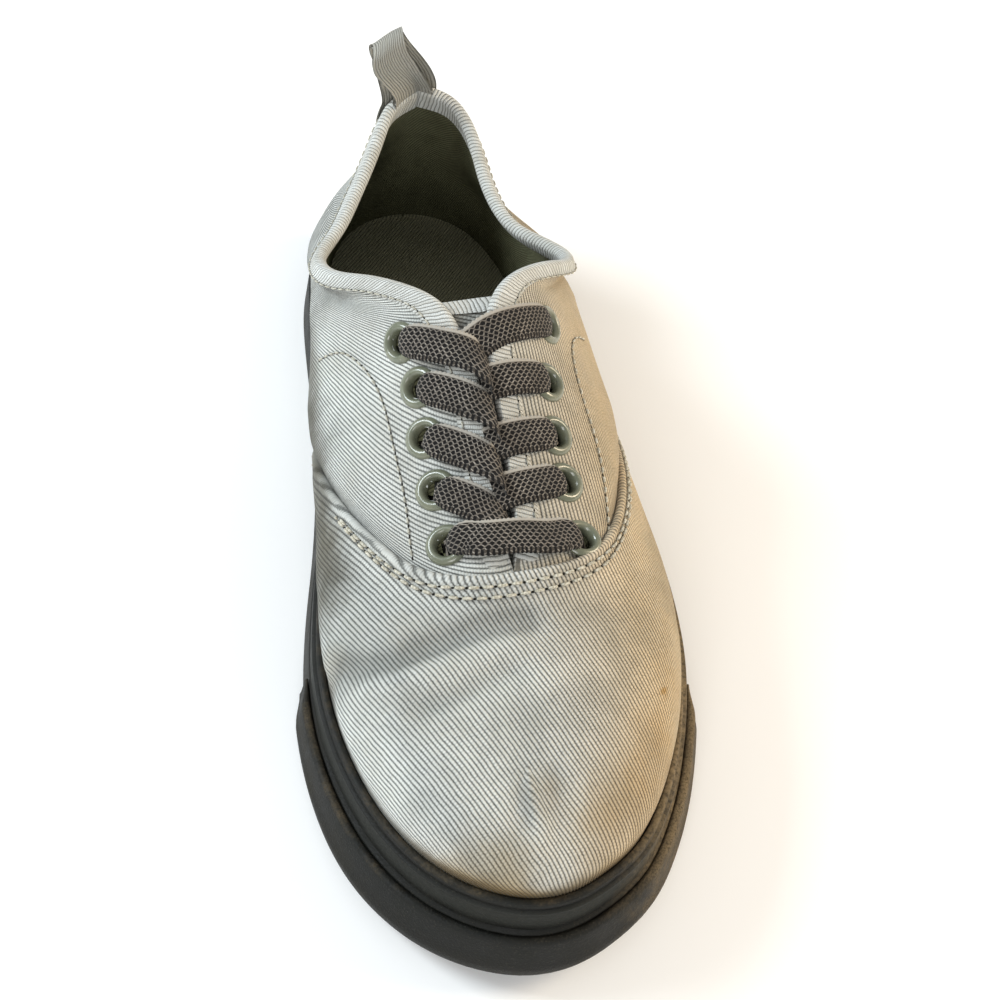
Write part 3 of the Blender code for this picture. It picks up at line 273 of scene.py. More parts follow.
class Last:
    """The form that the shoe is built round."""

    def __init__(self) -> None:
        """Work out the feather line, the ridge and both top edges."""
        self.feather_curve = Spline(np.array(FEATHER) * PLAN_SIZE, closed=True)
        self.toe_share = self.feather_curve.knots[TOE_POINT]
        self.ridge_points = Spline(np.array(RIDGE) * [HALF_LENGTH, THROAT_HEIGHT])(np.linspace(0.0, 1.0, 400))
        self.toe_fan = RIDGE[0][0] * HALF_LENGTH
        self.throat_foot = RIDGE[-1][0] * HALF_LENGTH
        tables = {Side.MEDIAL: np.array(MEDIAL_EDGE), Side.LATERAL: np.array(LATERAL_EDGE)}
        size = [BALL_HALF, HALF_LENGTH, THROAT_HEIGHT]
        self.edges = {side: (Spline(table[:, :3] * size), table[:, 3:]) for side, table in tables.items()}

    def feather(self, side: Side, a: Array) -> Array:
        """Plan points of the feather line: a is 0 at the toe's tip and 1 at the heel's back."""
        a = np.asarray(a, float)
        toe = self.toe_share
        return self.feather_curve(toe * (1.0 - a) if side is Side.MEDIAL else toe + a * (1.0 - toe))

    def feather_at(self, side: Side, y: float) -> float:
        """Share of the feather line at a place along the shoe."""
        a = np.linspace(0.02, 0.98, 400)
        return float(np.interp(y, self.feather(side, a)[:, 1], a))

    def outward(self, side: Side, a: Array) -> Array:
        """Unit normals of the feather line in plan, away from the foot."""
        reach = 1e-3
        a = np.asarray(a, float)
        along = (self.feather(side, a + reach) - self.feather(side, a - reach)) * side.value
        return unit(np.stack([along[..., 1], -along[..., 0]], -1))

    def ground(self, y: Array) -> Array:
        """Height of the sole's underside: spring at the toe, a low arch, and a lift behind the heel."""
        share = np.asarray(y, float) / HALF_LENGTH
        toe = np.clip((BALL_LINE - share) / (BALL_LINE + 1.03), 0.0, 1.0) ** 1.8
        arch = np.clip((share - ARCH_FRONT) / (ARCH_BACK - ARCH_FRONT), 0.0, 1.0)
        heel = np.clip((share - HEEL_BREAK) / (1.04 - HEEL_BREAK), 0.0, 1.0) ** 2
        return TOE_SPRING * toe + ARCH_LIFT * np.sin(math.pi * arch) ** 2 + HEEL_LIFT * heel

    def rim(self, y: Array) -> Array:
        """Height of the rubber rim's top edge."""
        share = np.asarray(y, float) / HALF_LENGTH
        toe = smooth((-0.45 - share) / 0.5)
        heel = smooth((share + 0.1) / 1.0)
        return self.ground(y) + RIM_BALL + (RIM_TOE - RIM_BALL) * toe + (RIM_HEEL - RIM_BALL) * heel

    def bed(self, y: Array) -> Array:
        """Height of the face on which the insole lies."""
        share = np.asarray(y, float) / HALF_LENGTH
        return self.ground(y) + BED_BALL + (BED_HEEL - BED_BALL) * smooth((share + 0.3) / 0.9)

    def ridge(self, y: Array) -> Array:
        """Points of the vamp's ridge, which drifts to the medial side towards the toe."""
        drift = np.clip((self.throat_foot - y) / (self.throat_foot - self.toe_fan), 0.0, 1.0)
        x = RIDGE_SHIFT * BALL_HALF * drift**1.3
        return np.stack([x, y, np.interp(y, self.ridge_points[:, 0], self.ridge_points[:, 1])], -1)

    def feet(self, side: Side, a: Array) -> Array:
        """Lowest points of the columns, on the feather line at the rim's top edge."""
        plan = self.feather(side, a)
        return np.concatenate([plan, (self.rim(plan[..., 1]) + GAP)[..., None]], -1)

    def seam_foot(self, side: Side) -> float:
        """Share of the feather line where the vamp's seam meets the rubber."""
        return self.feather_at(side, SEAM_FOOT[side.value] * HALF_LENGTH)

    def vamp_handles(self, side: Side, share: Array) -> tuple[Array, ...]:
        """Four handles of each vamp column, from the toe at share 0 to the seam at share 1."""
        sign = side.value
        a = share * self.seam_foot(side)
        start = self.feet(side, a)
        y = self.toe_fan + (self.throat_foot - self.toe_fan) * share**1.25
        end = self.ridge(y)
        rise = (end - start)[..., 2]
        across = (end - start)[..., :2]
        fan = np.clip(1.0 - share / 0.55, 0.0, 1.0)
        heading = unit(np.stack([across[..., 0], np.maximum(across[..., 1], 0.0) * fan], -1))
        swing = smooth((share - 0.40) / 0.60)
        heading[:, 1] += SEAM_TURN[sign] * swing
        slope = (self.ridge(y + 0.001) - self.ridge(y - 0.001)) / 0.002
        sideways = heading[:, 0] + heading[:, 1] * slope[:, 0]
        arrive = np.stack([sideways, heading[:, 1], heading[:, 1] * slope[:, 2]], -1)
        longest = VAMP_REACH + (SEAM_REACH[sign] - VAMP_REACH) * swing
        reach = np.minimum(np.linalg.norm(across, axis=-1) * 0.62, longest)
        seam_fullness = QUARTER_FULLNESS[0][1 if side is Side.MEDIAL else 2]
        out = self.outward(side, a) * (VAMP_FULLNESS + (seam_fullness - VAMP_FULLNESS) * swing)[:, None]
        up = (VAMP_RISE + (SEAM_RISE[sign] - VAMP_RISE) * swing) * rise
        lean = np.stack([out[:, 0], out[:, 1] - SEAM_FORWARD[sign] * swing, up], -1)
        return start, start + lean, end - arrive * reach[:, None], end

    def quarter_handles(self, side: Side, share: Array) -> tuple[Array, ...]:
        """Four handles of each quarter column, from the seam at share 0 to the heel's back at share 1."""
        sign = side.value
        first = self.seam_foot(side)
        a = first + (1.0 - first) * share
        start = self.feet(side, a)
        curve, ways = self.edges[side]
        end = curve(share)
        swing = 1.0 - smooth(share / 0.32)
        arrive = np.stack([np.interp(share, curve.knots, ways[:, i]) for i in range(3)], -1)
        arrive[:, 0] *= -sign
        arrive = unit(arrive) + np.array([0.0, 1.0, 0.45]) * SEAM_TURN[sign] * swing[:, None]
        rise = (end - start)[..., 2]
        across = np.linalg.norm((end - start)[..., :2], axis=-1)
        low = smooth(share / 0.45)
        table = np.array(QUARTER_FULLNESS)
        full = np.interp(start[:, 1] / HALF_LENGTH, table[:, 0], table[:, 1 if side is Side.MEDIAL else 2])
        out = self.outward(side, a) * full[:, None]
        up = rise * (SEAM_RISE[sign] + (0.38 - SEAM_RISE[sign]) * low)
        lean = np.stack([out[:, 0], out[:, 1] - SEAM_FORWARD[sign] * swing, up], -1)
        reach = (1.0 - low) * np.minimum(across * 0.60, SEAM_REACH[sign]) + low * rise * 0.35
        return start, start + lean, end - arrive * reach[:, None], end


def bezier(handles: tuple[Array, ...], count: int = 160) -> Array:
    """Dense columns: the cubic of four handles, (1-v)³p0 + 3(1-v)²v p1 + 3(1-v)v² p2 + v³p3."""
    p0, p1, p2, p3 = (h[:, None, :] for h in handles)
    v = np.linspace(0.0, 1.0, count)[None, :, None]
    return (1 - v) ** 3 * p0 + 3 * (1 - v) ** 2 * v * p1 + 3 * (1 - v) * v**2 * p2 + v**3 * p3


def at_distances(dense: Array, wanted: Array) -> Array:
    """Points at wanted distances along each dense column.

    Args:
        dense: columns, N x V x 3.
        wanted: distances from each column's start, N x R.

    Returns:
        The points, N x R x 3.
    """
    run = run_of(dense)
    rows = [[np.interp(w, r, c[:, i]) for i in range(3)] for w, r, c in zip(wanted, run, dense)]
    return np.array(rows).transpose(0, 2, 1)


def grid_normals(grid: Array) -> Array:
    """Unit normals of a grid of points: the cross product of its steps along the second and first axes."""
    return unit(np.cross(np.gradient(grid, axis=1), np.gradient(grid, axis=0)))


def distance_to_line(plan: Array, line: Array) -> tuple[Array, Array]:
    """Shortest distance in plan from points to a line of straight pieces.

    Args:
        plan: points, N x 2 or more.
        line: the line's corners, K x 2.

    Returns:
        The distances, and the share along the line of the nearest place.
    """
    a, b = line[:-1], line[1:]
    d = b - a
    rel = plan[:, None, :2] - a[None]
    t = np.clip((rel * d).sum(-1) / (d * d).sum(-1), 0.0, 1.0)
    gap = np.linalg.norm(rel - t[..., None] * d, axis=-1)
    nearest = gap.argmin(axis=1)
    rows = np.arange(len(plan))
    lengths = np.linalg.norm(d, axis=1)
    before = np.concatenate([[0.0], np.cumsum(lengths)])[:-1]
    share = (before[nearest] + t[rows, nearest] * lengths[nearest]) / lengths.sum()
    return gap[rows, nearest], share


# Meshes
def grid_faces(rows: int, cols: int, loop_rows: bool = False, loop_cols: bool = False) -> Array:
    """Four-sided faces of a grid numbered row by row, as one array of indices."""
    i = np.arange(rows if loop_rows else rows - 1)[:, None]
    j = np.arange(cols if loop_cols else cols - 1)[None, :]
    i2 = (i + 1) % rows
    j2 = (j + 1) % cols
    return np.stack([i * cols + j, i * cols + j2, i2 * cols + j2, i2 * cols + j], -1).reshape(-1, 4)


def add_mesh(name: str, points: Array, faces: Array, cloth: Array | None = None, weld: float = 0.0,
             turn_over: bool = False, tidy: bool = False) -> Piece:
    """A smooth-shaded mesh object at the origin.

    Args:
        name: the piece's name.
        points: corners in the last's frame, N x 3, metres.
        faces: indices, F x 4.
        cloth: places on the flat cloth in millimetres, N x 2, kept as the attribute "cloth".
        weld: distance under which corners become one.
        turn_over: whether the faces are turned round.
        tidy: whether the faces are all turned outwards afterwards, for closed bodies.

    Returns:
        The new object.
    """
    mesh = bpy.data.meshes.new(name)
    faces = faces[:, ::-1] if turn_over else faces
    mesh.from_pydata((points - PLAN_MIDDLE).tolist(), [], faces.tolist())
    if cloth is not None:
        layer = mesh.attributes.new("cloth", "FLOAT_VECTOR", "POINT")
        flat = np.concatenate([cloth, np.zeros((len(cloth), 1))], 1)
        layer.data.foreach_set("vector", flat.astype(np.float32).ravel())
    if weld or tidy:
        body = bmesh.new()
        body.from_mesh(mesh)
        if weld:
            bmesh.ops.remove_doubles(body, verts=body.verts, dist=weld)
        if tidy:
            bmesh.ops.recalc_face_normals(body, faces=body.faces)
        body.to_mesh(mesh)
        body.free()
    mesh.shade_smooth()
    obj = bpy.data.objects.new(name, mesh)
    bpy.context.scene.collection.objects.link(obj)
    return obj


def add_grid(name: str, grid: Array, flat: Array | None = None, loops: tuple[bool, bool] = (False, False),
             **how: object) -> Piece:
    """A piece over a grid of points.

    Args:
        name: the piece's name.
        grid: points, A x B x 3.
        flat: places on the flat cloth, A x B x 2, metres.
        loops: whether the grid closes along its first and its second axis.
        how: what add_mesh takes besides.

    Returns:
        The new object.
    """
    cloth = None if flat is None else flat.reshape(-1, 2) / MM
    return add_mesh(name, grid.reshape(-1, 3), grid_faces(*grid.shape[:2], *loops), cloth, **how)


def laid(first: Array, second: Array) -> Array:
    """Places on flat cloth from distances down the rows and distances across them."""
    return np.stack(np.broadcast_arrays(first[:, None], second), -1)


def corners_of(obj: Piece) -> Array:
    """The corners of an object's mesh, N x 3."""
    points = np.empty(len(obj.data.vertices) * 3, np.float32)
    obj.data.vertices.foreach_get("co", points)
    return points.reshape(-1, 3).astype(float)


def normals_of(obj: Piece) -> Array:
    """The corner normals of an object's mesh, N x 3."""
    normals = np.empty(len(obj.data.vertices) * 3, np.float32)
    obj.data.vertices.foreach_get("normal", normals)
    return normals.reshape(-1, 3).astype(float)


def displace(obj: Piece, heights: Array, moves: Array) -> None:
    """Move every corner along its own normal by its height, and by its own move."""
    points = corners_of(obj) + normals_of(obj) * heights[:, None] + moves
    obj.data.vertices.foreach_set("co", points.astype(np.float32).ravel())
    obj.data.update()


def paint(obj: Piece, name: str, values: Array) -> None:
    """Keep one number per corner as an attribute that a material can read."""
    layer = obj.data.attributes.new(name, "FLOAT", "POINT")
    layer.data.foreach_set("value", np.clip(values, 0.0, 1.0).astype(np.float32))


def finish_piece(obj: Piece, material: Material, slot: str, *nodes: str) -> None:
    """Dress a piece, let it ride on the shoe, hide the solids that it stands for, and log its faces."""
    obj.data.materials.clear()
    obj.data.materials.append(material)
    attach(obj, "root")
    if nodes:
        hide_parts(*nodes)
    LOG.info("%s: %d faces", obj.name, len(obj.data.polygons))


# Canvas
@dataclass(frozen=True)
class Crease:
    """A soft trough or ridge in the canvas, along a line in plan."""

    line: tuple[tuple[float, float], ...]
    height: float
    half_width: float
    fade: float = 0.25

    def heights(self, plan: Array) -> Array:
        """Height at points: a hump across the line, fading out over its two ends.

        Args:
            plan: points of the shoe, N x 3, millimetres.

        Returns:
            The heights in metres.
        """
        gap, share = distance_to_line(plan, np.array(self.line))
        ends = smooth(share / self.fade) * smooth((1.0 - share) / self.fade)
        return self.height * MM * bump_of(gap, self.half_width) * ends


@dataclass(frozen=True)
class Spot:
    """A soft patch of dirt, stain or painted shade at a place in plan, in millimetres."""

    x: float
    y: float
    radius: float
    strength: float

    def cover(self, plan: Array) -> Array:
        """Strength times a hump of the distance in plan."""
        gap = np.hypot(plan[:, 0] - self.x, plan[:, 1] - self.y)
        return self.strength * bump_of(gap, self.radius)


@dataclass
class Canvas:
    """Vamp, quarters and lining of the upper."""

    last: Last
    rows: int = 72
    vamp_count: int = 84
    quarter_count: int = 110
    raise_by: float = VAMP_RAISE
    fold_radius: float = 0.6 * MM
    tucked: float = 5.0 * MM
    creases: tuple[Crease, ...] = (
        Crease(((-54, -57), (-45, -68), (-35, -71), (-24, -69.5), (-13, -68), (-3, -67.5), (9, -69)),
               -2.2, 4.4, 0.14),
        Crease(((-47, -74), (-35, -77), (-25, -77), (-14, -75.5), (-3, -74), (6, -74)), 1.3, 4.6, 0.2),
        Crease(((-38, -87), (-26, -86.5), (-15, -83.5), (-7, -81), (4, -80)), -1.1, 4.0, 0.25),
        Crease(((8, -63), (20, -64), (34, -60)), -0.45, 5.0, 0.35),
        Crease(((2.5, -101), (1.7, -113), (1.3, -121), (1.8, -129)), -0.7, 3.0, 0.35),
        Crease(((-7, -107), (-7.6, -119), (-7.0, -128)), -0.7, 2.8, 0.35),
        Crease(((-3, -107), (-3.4, -118), (-3.2, -128)), 0.5, 2.8, 0.35),
        Crease(((10.5, -106), (9, -113), (7.5, -123)), 0.6, 3.0, 0.3),
        Crease(((22, -101), (19, -112), (14, -123)), -0.35, 4.2, 0.3),
        Crease(((-52, -30), (-44, -38), (-36, -45)), -0.35, 3.5, 0.3),
        Crease(((38, -44), (45, -52), (50, -60)), -0.4, 4.0, 0.3),
    )
    stains: tuple[Spot, ...] = (
        Spot(24, -112, 12.0, 0.40), Spot(33, -98, 10.0, 0.40), Spot(12, -122, 12.0, 0.40),
        Spot(-2, -112, 8.0, 0.18), Spot(-14, -130, 10.0, 0.45), Spot(-27, -126, 8.0, 0.28),
        Spot(38, -84, 0.9, 1.0), Spot(42, -80, 9.0, 0.25), Spot(-52, -60, 6.0, 0.25),
        Spot(-30, -60, 12.0, 0.10), Spot(10, -60, 12.0, 0.10), Spot(-29, 6, 6.0, 0.15),
        Spot(44, -64, 9.0, 0.15),
    )
    # Patches of painted shade where the canvas turns away from the light
    shades: tuple[Spot, ...] = (
        Spot(-38, -62, 9.0, 0.25), Spot(-26, -63, 8.0, 0.32), Spot(-12, -62, 8.0, 0.30),
        Spot(2, -62, 7.0, 0.2), Spot(-6, -112, 9.0, 0.3), Spot(-40, -32, 10.0, 0.4),
    )
    fold_rows: tuple[float, float] = (1.9 * MM, 4.9 * MM)
    eyelet_room: float = 4.0 * MM
    grids: dict[str, Array] = field(default_factory=dict)
    normals: dict[str, Array] = field(default_factory=dict)
    flats: dict[str, Array] = field(default_factory=dict)
    dense_quarter: dict[Side, Array] = field(default_factory=dict)

    def vamp_side(self, side: Side, share: Array) -> tuple[Array, Array]:
        """Columns of one half of the vamp from the rubber up to the ridge.

        Args:
            side: which half.
            share: places from toe to seam.

        Returns:
            Points N x R x 3 and each point's distance down from the ridge.
        """
        dense = bezier(self.last.vamp_handles(side, share))
        total = run_of(dense)[:, -1:]
        wanted = total * np.linspace(0.0, 1.0, self.rows)[None, :]
        return at_distances(dense, wanted), total - wanted

    def lower(self, grid: Array, down: Array) -> tuple[Array, Array]:
        """Add the margin that is tucked behind the rubber: two rows straight below the first."""
        drop = np.array([0.0, 0.0, self.tucked])
        foot = grid[:, :1]
        wider = np.concatenate([foot - drop, foot - drop / 2.0, grid], 1)
        first = down[:, :1]
        return wider, np.concatenate([first + self.tucked, first + self.tucked / 2.0, down], 1)

    def eased(self, grid: Array, share: Array) -> Array:
        """Even out the bend over the ridge near the seam: repeated halfway moves towards both neighbours.

        The crest is then put back to its own height, and its neighbours with it.
        """
        ridge = grid.shape[1] // 2
        reach = 22
        near = slice(ridge - reach, ridge + reach + 1)
        offset = np.arange(-reach, reach + 1) / reach
        weight = (1.0 - offset**2)[None, :, None] ** 2 * smooth((share - 0.45) / 0.45)[:, None, None]
        crest = grid[:, ridge : ridge + 1].copy()
        grid = grid.copy()
        part = grid[:, near]
        for _ in range(120):
            middle = 0.5 * (np.roll(part, 1, 1) + np.roll(part, -1, 1))
            part[:, 1:-1] += 0.5 * (weight * (middle - part))[:, 1:-1]
        part += (crest - grid[:, ridge : ridge + 1]) * (1.0 - offset**2)[None, :, None] ** 2
        return grid

    def laid_flat(self, grid: Array, share: Array) -> Array:
        """Lay the vamp out flat from its ridge outwards.

        At the toe a point lies as far from the ridge as its own column runs. Towards the seam it keeps its
        place along the shoe, and lies as far sideways as the canvas runs there, climb included.

        Args:
            grid: points of the vamp, rows from toe to seam, columns from medial to lateral rubber.
            share: share of the way from toe to seam, one per row.

        Returns:
            Places on the flat cloth, metres.
        """
        ridge = grid.shape[1] // 2
        top = grid[:, ridge : ridge + 1]
        run = run_of(grid)
        away = unit(grid[..., :2] - top[..., :2])
        away[:, ridge] = away[:, ridge - 1]
        fanned = top[..., :2] + away * np.abs(run - run[:, ridge : ridge + 1])[..., None]
        aside = np.hypot(np.diff(grid[..., 0], axis=1), np.diff(grid[..., 2], axis=1))
        aside = np.concatenate([np.zeros_like(aside[:, :1]), np.cumsum(aside, 1)], 1)
        plain = np.stack([top[..., 0] + aside - aside[:, ridge : ridge + 1], grid[..., 1]], -1)
        return fanned + (plain - fanned) * smooth((share - 0.25) / 0.5)[:, None, None]

    def build_vamp(self) -> None:
        """Vamp grid from toe to seam and from medial to lateral rubber, its folded edge curled under."""
        share = np.linspace(0.0, 1.0, self.vamp_count) ** 1.15
        halves = [self.lower(*self.vamp_side(side, share))[0] for side in Side]
        grid = self.eased(np.concatenate([halves[0], halves[1][:, -2::-1]], 1), share)
        normal = grid_normals(grid)
        flat = self.laid_flat(grid, share)
        normal[0] = unit(normal[0] + normal[0, ::-1])
        climb = np.minimum(run_of(grid), run_of(grid[:, ::-1])[:, ::-1]) - self.tucked
        raised = grid + normal * (self.raise_by * smooth(climb / (7.0 * MM)))[..., None]
        edge = raised[-1]
        ahead = unit(edge - raised[-2])
        turns = np.linspace(0.0, 0.92 * math.pi, 8)[1:, None, None]
        curl = edge + self.fold_radius * (ahead * np.sin(turns) + normal[-1] * (np.cos(turns) - 1.0))
        curl_flat = flat[-1] + unit(flat[-1] - flat[-2]) * self.fold_radius * turns
        self.grids["vamp_base"] = grid
        self.grids["vamp"] = np.concatenate([raised, curl])
        self.flats["vamp"] = np.concatenate([flat, curl_flat])
        self.normals["vamp"] = normal

    def quarter_side(self, side: Side, share: Array) -> tuple[Array, Array]:
        """Columns of one quarter, drawn smoothly onto the vamp's last column near the seam.

        Args:
            side: which quarter.
            share: places from seam to heel.

        Returns:
            Dense columns N x V x 3 and the outward directions in plan N x 2.
        """
        last = self.last
        handles = last.quarter_handles(side, share)
        at_seam = last.quarter_handles(side, np.zeros(1))
        vamp = last.vamp_handles(side, np.ones(1))
        near = (1.0 - smooth(share / 0.07))[:, None]
        moved = tuple(h + (v - q) * near for h, v, q in zip(handles, vamp, at_seam))
        first = last.seam_foot(side)
        return bezier(moved), last.outward(side, first + (1.0 - first) * share)

    def build_quarters(self) -> None:
        """Quarter grid from the medial seam round the heel to the lateral seam, a strip under the vamp."""
        share = np.linspace(0.0, 1.0, self.quarter_count) ** 1.25
        base = self.grids["vamp_base"]
        normal = self.normals["vamp"]
        count = self.rows + 2
        sides = []
        flats = []
        for side in Side:
            dense, away = self.quarter_side(side, share)
            self.dense_quarter[side] = dense
            total = run_of(dense)[:, -1:]
            wanted = total * np.linspace(0.0, 1.0, self.rows)[None, :]
            grid, down = self.lower(at_distances(dense, wanted), total - wanted)
            flat = grid[:, -1:, :2] + away[:, None] * down[..., None]
            under = base[[-9, -4]] - normal[[-9, -4]] * np.array([0.5, 0.3])[:, None, None] * MM
            under = under[:, :count] if side is Side.MEDIAL else under[:, ::-1][:, :count]
            steps = np.array([[-6.0], [-3.0]]) * MM
            under_flat = flat[0][None] + np.stack([steps * 0.0, steps], -1)
            sides.append(np.concatenate([under, grid]))
            flats.append(np.concatenate([under_flat, flat]))
        self.grids["quarters"] = np.concatenate([sides[0], sides[1][-2::-1]])
        self.flats["quarters"] = np.concatenate([flats[0], flats[1][-2::-1]])
        self.normals["quarters"] = -grid_normals(self.grids["quarters"])
        outward = np.array([0.0, 1.0, 0.0])
        middle = self.grids["quarters"].shape[0] // 2
        if (self.normals["quarters"][middle, count // 2] * outward).sum() < 0:
            self.normals["quarters"] = -self.normals["quarters"]

    def unevenness(self, plan: Array) -> Array:
        """Slow waves of the worn cloth: three crossed sines of a few tenths of a millimetre."""
        x, y, z = plan[:, 0], plan[:, 1], plan[:, 2]
        waves = np.sin(x / 9.0 + y / 15.0 + 0.7) + np.sin(y / 8.0 - x / 17.0 + z / 11.0)
        return 0.07 * MM * (waves + 0.7 * np.sin(x / 4.3 + y / 6.1 + z / 7.0))

    def fold_line(self, inset: float) -> tuple[Array, Array]:
        """Line on the vamp at a distance from its folded edge, read along the columns, and its normals."""
        raised = self.grids["vamp"][self.vamp_count - 1::-1, 4:-4]
        normal = self.normals["vamp"][::-1, 4:-4]
        back = run_of(raised, axis=0)
        after = (back > inset).argmax(axis=0)
        column = np.arange(raised.shape[1])
        low, high = back[after - 1, column], back[after, column]
        mix = ((inset - low) / (high - low))[:, None]
        points = raised[after - 1, column] * (1.0 - mix) + raised[after, column] * mix
        return points, normal[after, column]

    def open_eyelets(self, obj: Piece) -> None:
        """Take away the faces inside every eyelet's barrel, but none that reaches past its flange."""
        body = bmesh.new()
        body.from_mesh(obj.data)
        plan = np.concatenate([eyelet_places(side) for side in Side]) * MM
        corners = corners_of(obj)
        high = corners[:, 2] > 0.05
        flat_gaps = np.linalg.norm(corners[:, None, :2] - plan[None], axis=-1)
        flat_gaps = flat_gaps + np.where(high, 0.0, 1.0)[:, None]
        centres = np.column_stack([plan, corners[flat_gaps.argmin(axis=0), 2]])
        gaps = np.linalg.norm(corners[:, None] - centres[None], axis=-1).min(axis=1)
        covered = 0.90 * EYELET_FLANGE
        gone = []
        for face in body.faces:
            reach = [gaps[vert.index] for vert in face.verts]
            if sum(reach) / len(reach) < self.eyelet_room and max(reach) < covered:
                gone.append(face)
        bmesh.ops.delete(body, geom=gone, context="FACES")
        body.to_mesh(obj.data)
        body.free()

    def dress(self, obj: Piece, seam: Array) -> None:
        """Crease a piece of canvas and paint its dirt, stains, seam shadow, painted shade and painted warm
        light.

        Args:
            obj: the piece, whose corners are read in the shoe's own frame.
            seam: points of the vamp's edge in the last's frame, K x 3.
        """
        points = corners_of(obj)
        plan = points / MM
        heights = self.unevenness(plan)
        for crease in self.creases:
            heights = heights + crease.heights(plan)
        last_y = points[:, 1] + PLAN_MIDDLE[1]
        above = points[:, 2] - self.last.rim(last_y)
        free = smooth(above / (6.0 * MM))
        lines = [self.fold_line(inset)[0] - PLAN_MIDDLE for inset in self.fold_rows]
        rows = [nearness(points, line, 4.0 * MM) for line in lines]
        sunk = sum(bump_of(gap, 0.9 * MM) for gap in rows) if obj.name == "vamp" else 0.0
        swell = SWELL_DEPTH * bump_of(points[:, 2] - SWELL_HEIGHT, 15.0 * MM)
        swell = swell * bump_of(plan[:, 1] - 12.0, 52.0) * smooth((-plan[:, 0] - 18.0) / 10.0)
        fold = nearness(points, seam - PLAN_MIDDLE, 16.0 * MM)
        rise, reach = FOLD_OVER if obj.name == "vamp" else FOLD_UNDER
        lap = rise * bump_of(fold, reach * MM) * MM
        displace(obj, heights * free + lap - STITCH_SUNK * sunk, swell[:, None] * np.array(SWELL_WAY))
        # Painted shade in the creases' troughs, and in patches where the canvas turns away from the light
        hollow = sum(np.maximum(-crease.heights(plan), 0.0) for crease in self.creases) / (2.0 * MM)
        paint(obj, "hollow", hollow + sum(spot.cover(plan) for spot in self.shades))
        stain = sum(spot.cover(plan) for spot in self.stains) * smooth((-20.0 - plan[:, 1]) / 20.0 + 0.35)
        low_edge = bump_of(above, 3.2 * MM)
        medial_wall = smooth((-plan[:, 0] - 36.0) / 12.0) * smooth((62.0 + plan[:, 1]) / 30.0)
        medial_wall *= smooth((34.0 * MM - above) / (14.0 * MM))
        toe_edge = smooth((-plan[:, 1] - 104.0) / 26.0) * bump_of(above, 6.0 * MM)
        paint(obj, "stain", stain + 0.55 * toe_edge)
        paint(obj, "soil", 0.55 * low_edge + 0.75 * medial_wall + 0.45 * toe_edge)
        paint(obj, "lateral", (plan[:, 0] > 0.6).astype(float))
        # Painted warm light: the lateral side tinted as if lit by a warm lamp
        paint(obj, "warm", smooth((plan[:, 0] + 4.0) / 44.0) * 0.8)
        # Painted shadow, with some dirt, along the vamp's folded edge, and painted shadow in the stitch
        # troughs
        edge = bump_of(nearness(points, seam - PLAN_MIDDLE, 4.0 * MM), 0.8 * MM)
        paint(obj, "seam", np.maximum(edge * (0.9 if obj.name == "quarters" else 0.25), 0.30 * sunk))

    def build(self) -> None:
        """Work out both grids."""
        self.build_vamp()
        self.build_quarters()

    def seam_line(self) -> Array:
        """The vamp's edge across the foot, from the medial rubber to the lateral rubber."""
        return self.grids["vamp_base"][-1, 2:-2]

    def add(self, vamp_finish: Material, quarter_finish: Material,
            lining: Material) -> None:
        """Make vamp, quarters and lining."""
        seam = self.seam_line()
        piece = add_grid("vamp", self.grids["vamp"], self.flats["vamp"], weld=5.0 * WELD)
        self.dress(piece, seam)
        finish_piece(piece, vamp_finish, "canvas", "upper")
        piece = add_grid("quarters", self.grids["quarters"], self.flats["quarters"], weld=5.0 * WELD)
        self.dress(piece, seam)
        self.open_eyelets(piece)
        finish_piece(piece, quarter_finish, "canvas", "upper")
        self.add_lining(lining)

    def add_lining(self, material: Material) -> None:
        """Inner face of the canvas: both grids set inwards by the wall, down to the insole."""
        wall = UPPER_WALL + 0.1 * MM
        inner = self.grids["quarters"][2:-2:2, 2::3] - self.normals["quarters"][2:-2:2, 2::3] * wall
        first = inner[:, :1].copy()
        first[..., 2] = self.last.bed(first[..., 1]) + 1.0 * MM
        grid = np.concatenate([first, inner], 1)
        piece = add_grid("lining", grid, laid(run_of(grid[:, -1]), run_of(grid)), turn_over=True)
        self.open_eyelets(piece)
        finish_piece(piece, material, "insole_cloth", "upper")
        vamp = self.grids["vamp_base"][::3, 2:-2:3] - self.normals["vamp"][::3, 2:-2:3] * wall
        ends = vamp[:, [0, -1]].copy()
        ends[..., 2] = self.last.bed(ends[..., 1]) + 1.0 * MM
        grid = np.concatenate([ends[:, :1], vamp, ends[:, 1:]], 1)
        piece = add_grid("vamp_lining", grid, laid(run_of(grid[:, -1]), run_of(grid)), turn_over=True)
        finish_piece(piece, material, "insole_cloth", "upper")


def nearness(points: Array, line: Array, most: float) -> Array:
    """Distance of each point from a line, no more than most."""
    tree = BVHTree.FromPolygons(*ribbon(line))
    return np.array([tree.find_nearest(Vector(p), most)[3] or most for p in points])


def ribbon(line: Array) -> tuple[list[list[float]], list[tuple[int, ...]]]:
    """A hair-thin upright ribbon along a line, for finding distances to the line."""
    count = len(line)
    points = np.concatenate([line, line + np.array([0.0, 0.0, 1e-5])])
    faces = [(i, i + 1, i + 1 + count, i + count) for i in range(count - 1)]
    return points.tolist(), faces


